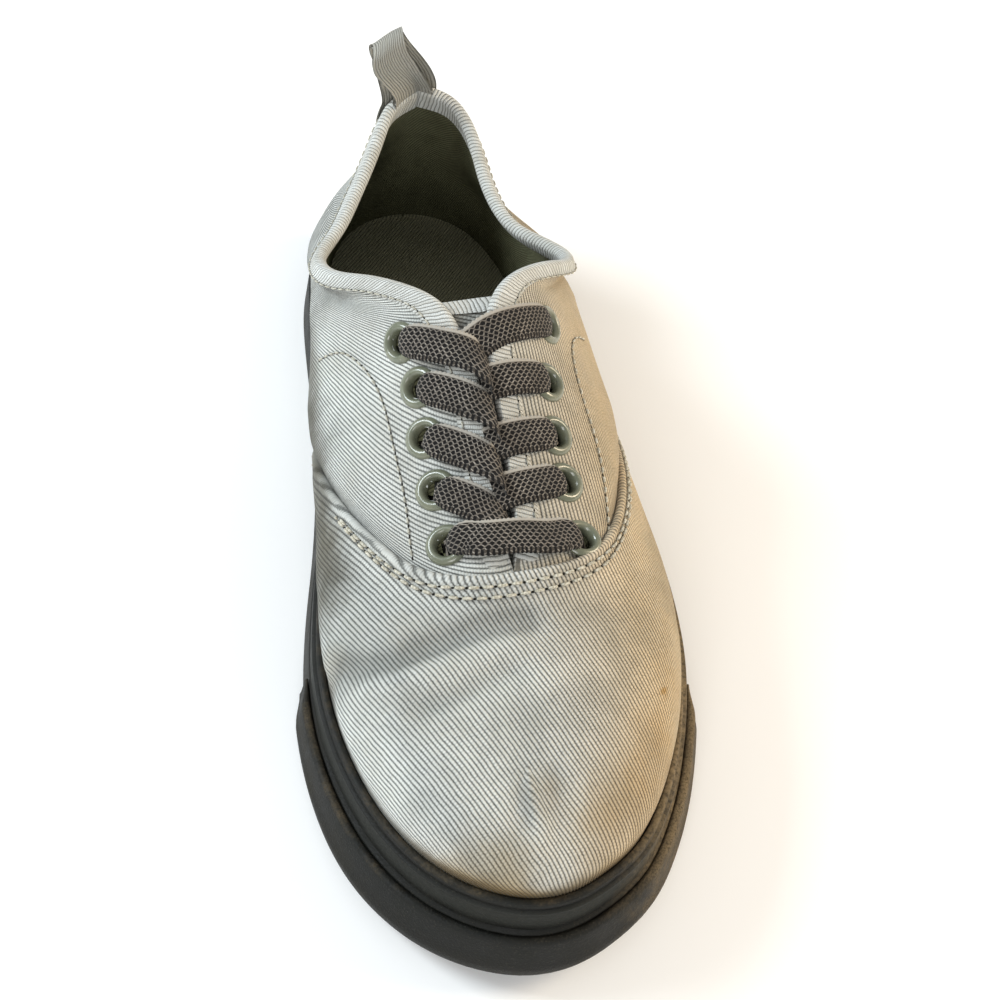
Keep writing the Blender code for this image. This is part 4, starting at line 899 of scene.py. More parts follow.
class Skin:
    """Search over a finished piece, to lay thread on it."""

    def __init__(self, name: str) -> None:
        """Read the piece's mesh."""
        mesh = bpy.data.objects[name].data
        points = [v.co[:] for v in mesh.vertices]
        self.tree = BVHTree.FromPolygons(points, [p.vertices[:] for p in mesh.polygons])

    def settle(self, points: Array, normals: Array) -> tuple[Array, Array]:
        """Points dropped onto the piece along their normals, in the last's frame, and the same normals.

        Args:
            points: places near the piece, N x 3.
            normals: outward directions there, N x 3.

        Returns:
            The places on the piece and their normals.
        """
        reach = 4.0 * MM
        starts = points - PLAN_MIDDLE + normals * reach / 2.0
        hits = [self.tree.ray_cast(Vector(p), Vector(-n), reach)[0] for p, n in zip(starts, normals)]
        found = [h if h is not None else p - PLAN_MIDDLE for h, p in zip(hits, points)]
        return np.array([f[:] for f in found]) + PLAN_MIDDLE, normals


class Cover:
    """Search over the outer canvas with the throat bridged, for what lies on it or under it."""

    def __init__(self, canvas: Canvas) -> None:
        """Gather both grids and the bridge from edge to edge."""
        vamp = canvas.grids["vamp_base"][:, 2:-2]
        quarters = canvas.grids["quarters"][2:-2]
        bridge = np.stack([quarters[:, -1], quarters[::-1, -1]], 1)
        points: list[list[float]] = []
        faces: list[tuple[int, ...]] = []
        for grid in (vamp, quarters[:, 2:], bridge):
            start = len(points)
            points += (grid - PLAN_MIDDLE).reshape(-1, 3).tolist()
            faces += (grid_faces(*grid.shape[:2]) + start).tolist()
        self.tree = BVHTree.FromPolygons(points, faces)

    def at(self, x: float, y: float) -> tuple[Array, Array]:
        """Point and upward normal straight below a plan point of the shoe, in metres."""
        place, normal, _, _ = self.tree.ray_cast(Vector((x, y, 1.0)), Vector((0.0, 0.0, -1.0)))
        if place is None:
            place, normal, _, _ = self.tree.find_nearest(Vector((x, y, 0.05)))
        normal = -normal if normal.z < 0 else normal
        return np.array(place), np.array(normal)

    def drape(self, plan: Array) -> tuple[Array, Array]:
        """Points and normals below many plan points, with the normals evened out along the line.

        Args:
            plan: plan points, N x 2, metres.

        Returns:
            Points and unit normals, N x 3 each.
        """
        found = [self.at(x, y) for x, y in plan]
        points = np.array([f[0] for f in found])
        normals = np.array([f[1] for f in found])
        padded = np.pad(normals, ((2, 2), (0, 0)), mode="edge")
        even = sum(padded[i: i + len(normals)] for i in range(5))
        return points, unit(even)


# Tape, thread and laces
@dataclass
class StitchRow:
    """A row of stitches along a line on the cloth."""

    name: str
    line: Array
    normals: Array
    pitch: float = 4.3 * MM
    share: float = 0.80
    radius: float = 0.36 * MM
    proud: float = 0.10 * MM

    def places(self, distance: Array) -> tuple[Array, Array]:
        """Points and normals at distances along the line."""
        run = run_of(self.line)
        points = np.stack([np.interp(distance, run, self.line[:, i]) for i in range(3)], -1)
        normals = np.stack([np.interp(distance, run, self.normals[:, i]) for i in range(3)], -1)
        return points, unit(normals)

    def add(self, thread: Material, holes: Material, slot: str, node: str) -> None:
        """Threads that bow over the cloth between needle holes, and discs of painted shade at the holes.

        Args:
            thread: material of the stitches.
            holes: material of the painted shade at the needle holes.
            slot: not used.
            node: the solid that the row lies on.
        """
        total = run_of(self.line)[-1]
        count = max(int(total / self.pitch), 1)
        centre = (np.arange(count) + 0.5) * total / count
        t = np.linspace(-1.0, 1.0, 9)
        half = 0.5 * self.pitch * self.share
        distance = centre[:, None] + half * t[None]
        points, normals = self.places(distance)
        thin = np.sqrt(np.clip(1.0 - t**4, 0.0, 1.0))[None, :, None]
        lift = (self.proud + self.radius * (1.0 - 1.5 * t**6))[None, :, None]
        along = unit(np.gradient(points, axis=1))
        wide = unit(np.cross(normals, along))
        turn = np.linspace(0.0, TURN, 7)[:-1]
        turn = turn[None, None, :, None]
        ring = wide[:, :, None] * np.cos(turn) + normals[:, :, None] * np.sin(turn)
        tube = (points + normals * lift)[:, :, None] + ring * (self.radius * thin)[..., None]
        faces = grid_faces(9, 6, loop_cols=True)
        every = (faces[None] + (np.arange(count) * 54)[:, None, None]).reshape(-1, 4)
        piece = add_mesh(self.name, tube.reshape(-1, 3), every, weld=WELD)
        finish_piece(piece, thread, slot, node)
        gaps = np.concatenate([[0.0], (centre[1:] + centre[:-1]) / 2.0, [total]])
        points, normals = self.places(gaps)
        along = unit(np.gradient(points, axis=0))
        wide = unit(np.cross(normals, along))
        turn = np.linspace(0.0, TURN, 9)[:-1]
        size = 0.5 * self.pitch * (1.0 - self.share) + 0.10 * MM
        middle = points + normals * (0.16 * MM)
        turn = turn[None, :, None]
        rim = along[:, None] * (np.cos(turn) * size) + wide[:, None] * (np.sin(turn) * self.radius * 0.95)
        outer = points[:, None] + rim + normals[:, None] * (0.02 * MM)
        grid = np.concatenate([np.repeat(middle[:, None], 8, 1)[:, None], outer[:, None]], 1)
        faces = grid_faces(2, 8, loop_cols=True)
        every = (faces[None] + (np.arange(len(gaps)) * 16)[:, None, None]).reshape(-1, 4)
        piece = add_mesh(self.name + "_holes", grid.reshape(-1, 3), every, weld=WELD, turn_over=True)
        finish_piece(piece, holes, slot, node)


@dataclass
class EdgeTape:
    """Ribbed tape folded over the top edge of the quarters."""

    canvas: Canvas
    outside: float = BINDING_WIDTH
    inside: float = 6.0 * MM
    thick: float = BINDING_THICK
    columns: int = 300

    def walls(self, distances: Array) -> tuple[Array, Array]:
        """Points of the quarters at distances below the top edge, from medial throat to lateral throat.

        Args:
            distances: distances below the edge, metres.

        Returns:
            Points K x D x 3 and outward normals.
        """
        share = np.linspace(0.004, 1.0, self.columns // 2)
        halves = []
        for side in Side:
            dense, _ = self.canvas.quarter_side(side, share)
            total = run_of(dense)[:, -1:]
            halves.append(at_distances(dense, total - distances[None, :]))
        grid = np.concatenate([halves[0], halves[1][-2::-1]])
        normal = grid_normals(grid)
        middle = len(grid) // 2
        if normal[middle, 0, 1] < 0:
            normal = -normal
        return grid, normal

    def press(self, count: int) -> Array:
        """Share of the tape's full rise: 0.2 at both ends, under the vamp's fold, and 1 along the edge."""
        share = np.linspace(0.0, 1.0, count)
        return smooth(np.minimum(share, 1.0 - share) / 0.02) * 0.8 + 0.2

    def build(self, material: Material) -> None:
        """Sweep: up the outer face, round the wall's top in a half circle, and down the inner face."""
        low = np.linspace(self.outside, 0.4 * MM, 7)
        grid, normal = self.walls(np.concatenate([low, [0.0]]))
        count = len(grid)
        press = self.press(count)[:, None, None]
        rise = np.array([0.05, 0.75, 1.0, 1.0, 1.0, 1.0, 1.0]) * (GAP + self.thick)
        shift = np.array([0.0, 0.1, 0.0, 0.0, 0.0, 0.0, 0.0]) * MM
        outer = grid[:, :7] + normal[:, :7] * (rise[None, :, None] * press)
        outer[:, 1] += unit(grid[:, 0] - grid[:, 1]) * shift[1]
        edge = grid[:, -1]
        up = unit(edge - grid[:, -3])
        across = normal[:, -1]
        centre = edge - across * (UPPER_WALL / 2.0)
        reach = UPPER_WALL / 2.0 + GAP + self.thick
        turn = np.linspace(0.0, math.pi, 9)[None, :, None]
        in_throat = smooth((0.004 - edge[:, 1]) / 0.02)[:, None, None]
        tall = 0.85 - 0.75 * in_throat
        crest = centre[:, None] + reach * (across[:, None] * np.cos(turn) + tall * up[:, None] * np.sin(turn))
        down = np.linspace(0.8 * MM, self.inside, 5)
        inner_grid, inner_normal = self.walls(down)
        inner = inner_grid - inner_normal * (UPPER_WALL + GAP + self.thick)
        whole = np.concatenate([outer, crest, inner], 1)
        ends = np.minimum(np.linspace(0.0, 1.0, count), np.linspace(1.0, 0.0, count))
        whole[:, :, 2] -= 2.0 * MM * (1.0 - smooth(ends / 0.022))[:, None]
        piece = add_grid("collar_tape", whole, laid(run_of(edge), run_of(whole)))
        finish_piece(piece, material, "binding_tape", "collar_binding")

    def stitch_line(self) -> tuple[Array, Array]:
        """Line on the tape near its lower edge, and the normals there."""
        grid, normal = self.walls(np.array([self.outside - 1.6 * MM, self.outside - 2.4 * MM]))
        keep = slice(6, -6)
        return grid[keep, 0] + normal[keep, 0] * (GAP + self.thick - 0.1 * MM), normal[keep, 0]


@dataclass
class Eyelet:
    """A turned and painted eyelet, square on the canvas."""

    name: str
    x: float
    y: float
    flange: float = EYELET_FLANGE
    bore: float = EYELET_BORE - 0.3 * MM
    height: float = EYELET_HEIGHT
    sides: int = 56

    def build(self, cover: Cover, material: Material) -> None:
        """Turn the profile, a rolled flange that dips into the barrel, about the canvas's own normal."""
        place, normal = cover.at(self.x - PLAN_MIDDLE[0], self.y - PLAN_MIDDLE[1])
        profile = np.array([
            (self.bore, -2.4 * MM), (self.bore, -0.9 * MM), (self.bore + 0.10 * MM, -0.2 * MM),
            (self.bore + 0.35 * MM, 0.42 * self.height), (self.bore + 0.80 * MM, 0.82 * self.height),
            (0.70 * self.flange, self.height), (0.81 * self.flange, 0.96 * self.height),
            (0.91 * self.flange, 0.72 * self.height), (0.98 * self.flange, 0.38 * self.height),
            (self.flange, 0.12 * self.height), (0.985 * self.flange, 0.0), (self.bore + 0.5 * MM, -0.1 * MM),
            (self.bore + 0.5 * MM, -2.4 * MM)])
        side = unit(np.cross(normal, np.array([0.0, 1.0, 0.0])))
        front = np.cross(normal, side)
        turn = np.linspace(0.0, TURN, self.sides + 1)[:-1, None, None]
        ring = side * np.cos(turn) + front * np.sin(turn)
        points = place + PLAN_MIDDLE + ring * profile[None, :, :1] + normal * profile[None, :, 1:]
        piece = add_grid(self.name, points, loops=(True, True))
        finish_piece(piece, material, "painted_eyelet", self.name.replace("ring_", "eyelet_"))


@dataclass
class Strap:
    """A run of flat elastic lace."""

    name: str
    node: str
    stops: tuple[tuple[float, float, float, float, float], ...]
    slit: bool = False
    half: float = LACE_HALF + 0.15 * MM
    thick: float = LACE_THICK + 0.15 * MM
    samples: int = 200
    tooth: float = 0.16 * MM
    tooth_pitch: float = 1.25 * MM

    def build(self, cover: Cover, material: Material) -> None:
        """Sweep a rounded section along a smooth path, narrower and cupped where it enters an eyelet.

        Each stop holds x, y and lift over the canvas in millimetres, the share of the full width, and how far
        the edges are cupped down.
        """
        stops = np.array(self.stops)
        base, normals = cover.drape(stops[:, :2] * MM)
        frame_normals = np.array([cover.at(x, y)[1] for x, y in stops[:, :2] * MM])
        path = Spline(base + frame_normals * stops[:, 2:3] * MM)
        t = np.linspace(0.0, 1.0, self.samples)
        points = path(t)
        extra = np.stack([np.interp(t, path.knots, stops[:, i]) for i in (3, 4)], -1)
        up = unit(np.stack([np.interp(t, path.knots, normals[:, i]) for i in range(3)], -1))
        along = unit(np.gradient(points, axis=0))
        wide = unit(np.cross(up, along))
        square = unit(np.cross(along, wide))
        if self.slit:
            down_slit = np.array([0.0, 1.0, 0.0]) * np.sign(wide[:, 1:2])
            skewed = unit(wide + (down_slit - wide) * smooth((t - 0.55) / 0.35)[:, None])
            wide = skewed / np.maximum((skewed * wide).sum(-1, keepdims=True), 0.6)
        run = run_of(points)
        around = np.linspace(0.0, TURN, 33)[:-1]
        across = np.sign(np.cos(around)) * np.abs(np.cos(around)) ** 0.55
        height = np.sign(np.sin(around)) * np.abs(np.sin(around)) ** 0.55
        teeth = self.tooth * np.sin(run / self.tooth_pitch * TURN)[:, None] * (np.abs(across) ** 6)[None]
        side = across[None] * (self.half * extra[:, :1]) + np.sign(across)[None] * teeth
        cup = extra[:, 1:] * MM * (across**2)[None]
        rise = height[None] * self.thick / 2.0 - cup
        whole = points[:, None] + wide[:, None] * side[..., None] + square[:, None] * rise[..., None]
        heelward = 1.0 if points[-1, 0] > points[0, 0] else -1.0
        flat = laid(run, side * heelward)
        whole = whole + PLAN_MIDDLE
        caps = np.repeat(points[[0, -1]][:, None] + PLAN_MIDDLE, whole.shape[1], 1)
        whole = np.concatenate([caps[:1], whole, caps[1:]])
        flat = np.concatenate([flat[:1], flat, flat[-1:]])
        piece = add_grid(self.name, whole, flat, (False, True), weld=WELD)
        finish_piece(piece, material, "lace_knit", self.node)


def eyelet_places(side: Side) -> Array:
    """Eyelet centres of one side in plan, millimetres of the shoe's own frame, from the toe up."""
    table = MEDIAL_EYELETS if side is Side.MEDIAL else LATERAL_EYELETS
    return (np.array(table) * PLAN_SIZE - PLAN_MIDDLE[:2]) / MM


class Lacing:
    """The straight bar and the four crossings."""

    def rising(self, start: Array, run: Array) -> tuple[tuple[float, ...], ...]:
        """Stops of a lace that comes up through an eyelet and bends over its flange.

        Args:
            start: the eyelet's centre in plan, millimetres.
            run: unit direction that the lace leaves in.

        Returns:
            Stops as Strap takes them, from below the canvas up.
        """
        table = ((0.6, -3.4, 0.54, 0.8), (0.4, -1.0, 0.55, 0.8), (0.9, 1.2, 0.62, 0.8),
                 (3.0, 2.5, 0.82, 0.45), (5.6, 2.7, 0.97, 0.2))
        return tuple((*(start + off * run), lift, share, cup) for off, lift, share, cup in table)

    def straps(self) -> list[Strap]:
        """Every run of lace, from the row nearest the toe up."""
        medial = eyelet_places(Side.MEDIAL)
        lateral = eyelet_places(Side.LATERAL)
        made = []
        drop = np.array([0.0, -1.6])
        start, end = medial[0] + drop * 0.3, lateral[0] + drop * 0.3
        run = unit(end - start)
        made.append(Strap("lace_row_1", "lace_bar_1", (
            *self.rising(start, run),
            (*(start + 8.6 * run + 0.6 * drop), 3.2, 1.0, 0.1),
            (*(0.5 * (start + end) + drop), 3.4, 1.0, 0.0),
            (*(end - 8.6 * run + 0.6 * drop), 3.2, 1.0, 0.1), *self.rising(end, -run)[::-1])))
        for row in range(1, 5):
            top = row == 4
            start = medial[row]
            target = np.array([-1.4 - 0.5 * top, start[1] + 0.52 * (medial[row - 1][1] - start[1])
                               - (8.0 if top else 6.4)])
            if row == 1:
                target[1] += 1.6
            run, length = unit(target - start), float(np.linalg.norm(target - start))
            low = 0.9 if row == 1 else 0.0
            made.append(Strap(f"lace_medial_{row + 1}", f"lace_crossing_{row + 1}", (
                *self.rising(start, run),
                (*(start + 0.55 * length * run), 2.9 - 0.5 * low, 1.0, 0.1),
                (*(start + 0.78 * length * run), 3.3 - 1.4 * low, 1.0, 0.0),
                (*(start + 0.98 * length * run), 3.1 - 2.0 * low, 1.0, 0.0),
                (*(start + 1.03 * length * run), 1.6 - 1.6 * low, 1.0, 0.0),
                (*(start + 1.045 * length * run), -0.8 - 0.8 * low, 1.0, 0.0)), slit=True))
            start = lateral[row]
            end = np.array([-3.4 - 1.6 * top, start[1] - (14.5 if top else 5.4)])
            run, length = unit(end - start), float(np.linalg.norm(end - start))
            made.append(Strap(f"lace_lateral_{row + 1}", f"lace_crossing_{row + 1}", (
                *self.rising(start, run),
                (*(start + 0.52 * length * run), 2.6, 1.0, 0.1),
                (*(start + 0.78 * length * run), 2.0, 1.0, 0.0), (*end, 1.0, 1.0, 0.0))))
        return made


@dataclass
class Tongue:
    """Canvas tongue under the throat, with tape over its top edge."""

    foot: float = TONGUE_FOOT * HALF_LENGTH
    top: float = TONGUE_TOP * HALF_LENGTH
    drop: float = TONGUE_DROP
    thick: float = TONGUE_THICK
    tape: float = 6.5 * MM

    def surface(self, cover: Cover, y: Array, across: Array) -> tuple[Array, Array]:
        """Upper face of the tongue: the canvas's own form, lowered.

        Args:
            cover: the canvas with its throat bridged.
            y: places along the shoe.
            across: shares of the half width.

        Returns:
            Points and normals, len(y) x len(across) x 3.
        """
        spread = smooth((y - self.foot) / (self.top - self.foot))
        half = BALL_HALF * (TONGUE_HALF_FOOT + (TONGUE_HALF_TOP - TONGUE_HALF_FOOT) * spread)
        plan = np.stack(np.broadcast_arrays(half[:, None] * across[None] - 0.001, y[:, None]), -1)
        points, normals = [], []
        for line in plan - PLAN_MIDDLE[:2]:
            spots, ups = cover.drape(line)
            points.append(spots)
            normals.append(ups)
        normal = np.array(normals)
        return np.array(points) + PLAN_MIDDLE - normal * self.drop, normal

    def build(self, cover: Cover, cloth: Material, tape: Material) -> None:
        """A closed sheet: upper face, round the top edge, under face; then the tape, a smaller one."""
        across = np.sin(np.linspace(-1.0, 1.0, 49) * math.pi / 2.0)
        for name, first, grow, material, slot in (
            ("tongue_cloth", self.foot, 0.0, cloth, "canvas"),
            ("tongue_tape", self.top - self.tape, 0.5 * MM, tape, "binding_tape"),
        ):
            y = np.linspace(first, self.top - 0.3 * MM, 60 if grow == 0.0 else 10)
            upper, normal = self.surface(cover, y, across)
            edge_thin = (1.0 - 0.6 * np.abs(across) ** 8)[None, :, None]
            upper = upper + normal * grow
            under = upper - normal * (self.thick * edge_thin + 2.0 * grow)
            ahead = unit(upper[-1] - upper[-2])
            middle = (upper[-1] + under[-1]) / 2.0
            half = (upper[-1] - under[-1]) / 2.0
            turn = np.linspace(0.0, math.pi, 9)[1:-1, None, None]
            bend = middle + half * np.cos(turn) + ahead * np.sin(turn) * (1.0 * MM + grow)
            grid = np.concatenate([upper, bend, under[::-1]])
            flat = laid(run_of(grid[:, 24]), run_of(grid[:1]))
            piece = add_grid(name, grid, flat[..., ::-1] if grow else flat)
            centres = np.concatenate([eyelet_places(each) for each in Side])
            gaps = np.linalg.norm(corners_of(piece)[:, None, :2] / MM - centres[None], axis=-1).min(axis=1)
            # Painted shade, with some grime, under the eyelets, and painted shade over the whole tongue,
            # which lies under the throat
            paint(piece, "seam", bump_of(gaps, 11.0))
            paint(piece, "soil", np.full(len(gaps), 0.35))
            finish_piece(piece, material, slot, "tongue")


@dataclass
class PullLoop:
    """Tape loop over the heel's top edge, leaning to the medial side."""

    canvas: Canvas
    half: float = LOOP_HALF
    thick: float = LOOP_THICK
    rise: float = 0.92 * LOOP_RISE
    lean: float = LOOP_LEAN
    shift: float = LOOP_SHIFT
    tilt: float = 0.34
    outside_leg: float = 11.0 * MM

    def build(self, tape: EdgeTape, material: Material) -> None:
        """Sweep across the tape: up the outer leg, round the bend, down the inner leg, with a thickness."""
        grid, normal = tape.walls(np.linspace(self.outside_leg, 0.0, 9))
        run = run_of(grid[:, -1])
        run = run - run[len(grid) // 2]
        across = np.linspace(-self.half, self.half, 15)
        place = np.interp(across + self.shift, run, np.arange(len(grid)).astype(float))
        low = np.floor(place).astype(int)
        mix = (place - low)[:, None, None]
        walls = grid[low] * (1.0 - mix) + grid[low + 1] * mix
        ups = unit(normal[low] * (1.0 - mix) + normal[low + 1] * mix)
        gap = 2.0 * GAP + BINDING_THICK
        inside = -0.9 * MM
        heights = np.array([0.0, 0.22, 0.50, 0.80, 0.95, 1.0, 0.95, 0.80, 0.50, 0.22, 0.0]) * self.rise
        aways = np.array([gap, gap + 1.0 * MM, gap + 2.2 * MM, gap + 2.0 * MM, gap + 0.6 * MM, -1.0 * MM,
                          inside - 1.8 * MM, inside - 3.0 * MM, inside - 2.6 * MM, inside - 1.0 * MM, inside])
        bend = Spline(np.stack([aways, heights], -1))(np.linspace(0.0, 1.0, 60))
        way = unit(np.gradient(bend, axis=0))
        square = np.stack([way[:, 1], -way[:, 0]], -1)
        centre = walls[7, -1]
        up = unit(walls[:, -1] - walls[:, -2])
        straight = np.array([0.0, 1.0, 0.0])
        layers = []
        for thick in (0.0, self.thick):
            outer = walls[:, :-1] + ups[:, :-1] * (gap + thick)
            away = bend[:, 0] + square[:, 0] * thick
            height = bend[:, 1] + square[:, 1] * thick
            flat = smooth(height / (0.7 * self.rise))[None, :, None]
            level = centre + np.stack([across, across * 0.0, across * 0.0], -1)
            base = walls[:, -1][:, None] * (1.0 - flat) + level[:, None] * flat
            facing = unit(ups[:, -1][:, None] * (1.0 - flat) + straight * flat)
            lean = self.lean * smooth(height / self.rise)
            loop = base + facing * away[None, :, None] + up[:, None] * height[None, :, None]
            loop[..., 0] += lean[None]
            loop[..., 2] += self.tilt * across[:, None] * smooth(height / self.rise)[None]
            layers.append(np.concatenate([outer, loop], 1))
        whole = np.concatenate([layers[0], layers[1][:, ::-1]], 1)
        flat = laid(across - across[0], run_of(whole))
        piece = add_grid("heel_loop", whole, flat, (False, True), tidy=True)
        finish_piece(piece, material, "binding_tape", "pull_loop")


# Rubber and insole
@dataclass
class Rubber:
    """Rim round the shoe and strip round its toe."""

    last: Last
    count: int = 200
    lateral_gap: float = 0.9 * MM

    def stations(self) -> tuple[Array, Array]:
        """Feather points and outward normals all round: toe, medial side, heel, lateral side."""
        a = np.linspace(0.0, 1.0, self.count)
        medial = self.last.feather(Side.MEDIAL, a), self.last.outward(Side.MEDIAL, a)
        lateral = self.last.feather(Side.LATERAL, a), self.last.outward(Side.LATERAL, a)
        points = np.concatenate([medial[0], lateral[0][-2:0:-1]])
        normals = np.concatenate([medial[1], lateral[1][-2:0:-1]])
        tip = unit(medial[1][0] + lateral[1][0])
        back = unit(medial[1][-1] + lateral[1][-1])
        normals[0] = tip
        normals[self.count - 1] = back
        return points, normals

    def outs(self, points: Array) -> dict[str, Array]:
        """Distances out from the feather line: more at the toe, splayed at the ball."""
        share = points[:, 1] / HALF_LENGTH
        lateral = smooth(points[:, 0] / BALL_HALF + 0.2)
        splay = BALL_SPLAY * lateral * np.exp(-(((share + 0.28) / 0.30) ** 2))
        toe = smooth((-0.35 - share) / 0.45)
        skew = -TOE_SKEW * points[:, 0] / BALL_HALF
        flare = FOXING_FLARE + (TOE_FLARE - FOXING_FLARE + skew) * toe + splay
        past = smooth((points[:, 0] / BALL_HALF - 0.45) / 0.4) * (1.0 - 0.6 * toe)
        return {
            "foot": flare - 0.0004,
            "low": flare,
            "under_groove": LIP_WIDTH + 0.0012 + 0.30 * (flare - LIP_WIDTH - 0.0012) + 0.5 * splay,
            "groove": LIP_WIDTH + 0.0006 + 0.8 * splay,
            "band_low": LIP_WIDTH + 0.0014 + 0.9 * splay,
            "band_high": LIP_WIDTH + 0.0006 + 0.4 * splay,
            "line": LIP_WIDTH + 0.0011 + 0.3 * splay,
            "lip": np.full(len(points), LIP_WIDTH),
            "gap": GAP + (self.lateral_gap - GAP) * past,
        }

    def sweep(self, profile: list[tuple[Array, Array]], points: Array, normals: Array) -> Array:
        """Sections from pairs of distance out and height at every station."""
        outs = np.stack([np.broadcast_to(p[0], len(points)) for p in profile], -1)
        heights = np.stack([p[1] for p in profile], -1)
        plan = points[:, None] + normals[:, None] * outs[..., None]
        return np.concatenate([plan, heights[..., None]], -1)

    def rim_piece(self, material: Material) -> None:
        """Rim: inner face, rounded lip, raised line, smooth band, groove, and flared foot."""
        points, normals = self.stations()
        o = self.outs(points)
        y = points[:, 1]
        top = self.last.rim(y)
        foot = self.last.ground(y) + FOXING_FOOT
        ledge = self.last.ground(y) + SOLE_EDGE_HEIGHT + GAP
        low = top - LIP_HEIGHT
        band = low - BAND_HEIGHT
        profile = [
            (o["gap"], ledge), (o["gap"], top - 3.5 * MM), (o["gap"], top - 0.6 * MM),
            (o["gap"] + 0.15 * MM, top - 0.15 * MM), (o["gap"] + 0.5 * MM, top),
            (0.75 * o["lip"], top - 0.05 * MM), (0.92 * o["lip"], top - 0.4 * MM),
            (o["lip"], top - 1.0 * MM), (o["lip"] + 0.05 * MM, low + 0.8 * MM),
            (o["lip"] - 0.1 * MM, low + 0.45 * MM), (o["line"] - 0.25 * MM, low + 0.25 * MM),
            (o["line"], low), (o["line"], low - 0.45 * MM), (o["line"] - 0.35 * MM, low - 0.75 * MM),
            (o["band_high"], low - 1.0 * MM),
            (0.66 * o["band_high"] + 0.34 * o["band_low"], low - 0.33 * BAND_HEIGHT),
            (0.33 * o["band_high"] + 0.67 * o["band_low"], low - 0.66 * BAND_HEIGHT),
            (o["band_low"], band + 0.35 * MM), (o["band_low"] - 0.1 * MM, band),
            (o["groove"], band - 0.25 * MM), (o["groove"], band - 0.75 * MM),
            (o["under_groove"] - 0.15 * MM, band - 1.0 * MM), (o["under_groove"], band - 1.4 * MM),
            (0.5 * (o["under_groove"] + o["low"]), 0.5 * (band + foot)),
            (o["low"] - 0.05 * MM, foot + 2.2 * MM), (o["low"], foot + 1.2 * MM),
            (o["low"] - 0.1 * MM, foot + 0.35 * MM), (o["foot"], foot), (SOLE_EDGE_OUT + GAP, foot),
            (SOLE_EDGE_OUT + GAP, ledge),
        ]
        grid = self.sweep(profile, points, normals)
        piece = add_grid("rim", grid, loops=(True, True), tidy=True)
        place = corners_of(piece)
        crown = place[:, 2] - self.last.rim(place[:, 1])
        # Lateral side tan: dust with a painted warm light; dust along the crown
        outer_side = smooth((place[:, 0] / MM - 8.0) / 38.0)
        paint(piece, "dust", outer_side * 0.6 + 0.15 * bump_of(crown, 1.2 * MM))
        under_lip = smooth((-crown - LIP_HEIGHT) / (0.6 * MM))
        over_groove = smooth((crown + LIP_HEIGHT + BAND_HEIGHT) / (0.6 * MM))
        paint(piece, "band", under_lip * over_groove)
        paint(piece, "low", 1.0 - smooth((place[:, 2] - 6.0 * MM) / (10.0 * MM)))
        finish_piece(piece, material, "rim_rubber", "foxing")

    def toe_piece(self, material: Material) -> None:
        """Strip round the toe over the rim's lower band, thinning out at both ends."""
        points, normals = self.stations()
        half = self.count - 1
        order = np.arange(-half + 2, half - 1) % len(points)
        y_share = points[order, 1] / HALF_LENGTH
        centre = half - 2
        lateral = np.interp(-BUMPER_LATERAL_END, -y_share[: centre + 1], np.arange(centre + 1))
        medial = centre + np.interp(BUMPER_MEDIAL_END, y_share[centre:], np.arange(len(order) - centre))
        places = np.linspace(lateral, medial, 260)
        low = np.floor(places).astype(int)
        mix = (places - low)[:, None]
        plan = points[order[low]] * (1.0 - mix) + points[order[low + 1]] * mix
        away = unit(normals[order[low]] * (1.0 - mix) + normals[order[low + 1]] * mix)
        o = self.outs(plan)
        ends = np.minimum(places - lateral, medial - places) / (places[-1] - places[0])
        thick = BUMPER_THIN + (BUMPER_THICK - BUMPER_THIN) * smooth(ends / 0.05)
        top = self.last.rim(plan[:, 1]) - LIP_HEIGHT - BAND_HEIGHT - GROOVE_HEIGHT - 0.3 * MM
        foot = self.last.ground(plan[:, 1]) + FOXING_FOOT
        a = o["under_groove"] + GAP
        b = o["low"] + GAP
        profile = [
            (a, top - 0.3 * MM), (a + 0.25 * thick, top), (a + 0.6 * thick, top),
            (a + 0.88 * thick, top - 0.35 * MM), (a + thick, top - 1.0 * MM),
            (0.75 * a + 0.25 * b + thick, top - 0.25 * (top - foot)),
            (0.5 * (a + b) + thick, top - 0.45 * (top - foot)),
            (0.25 * a + 0.75 * b + thick, top - 0.62 * (top - foot)), (b + thick, foot + 3.4 * MM),
            (b + thick, foot + 1.2 * MM), (b + thick - 0.15 * MM, foot + 0.4 * MM),
            (b + thick - 0.6 * MM, foot), (b, foot), (b, foot + 1.6 * MM),
        ]
        grid = self.sweep(profile, plan, away)
        piece = add_grid("toe_strip", grid, laid(run_of(grid[:, 4]), run_of(grid)), (False, True), tidy=True)
        place = corners_of(piece)
        crown = place[:, 2] - self.last.rim(place[:, 1]) + LIP_HEIGHT + BAND_HEIGHT + GROOVE_HEIGHT
        # Lateral side tan: dust with a painted warm light; dust along the crown
        outer_side = smooth((place[:, 0] / MM - 8.0) / 38.0)
        paint(piece, "dust", outer_side * 0.5 + 0.22 * bump_of(crown, 1.2 * MM))
        paint(piece, "low", 1.0 - smooth((place[:, 2] - 5.0 * MM) / (10.0 * MM)))
        finish_piece(piece, material, "rim_rubber", "toe_bumper")

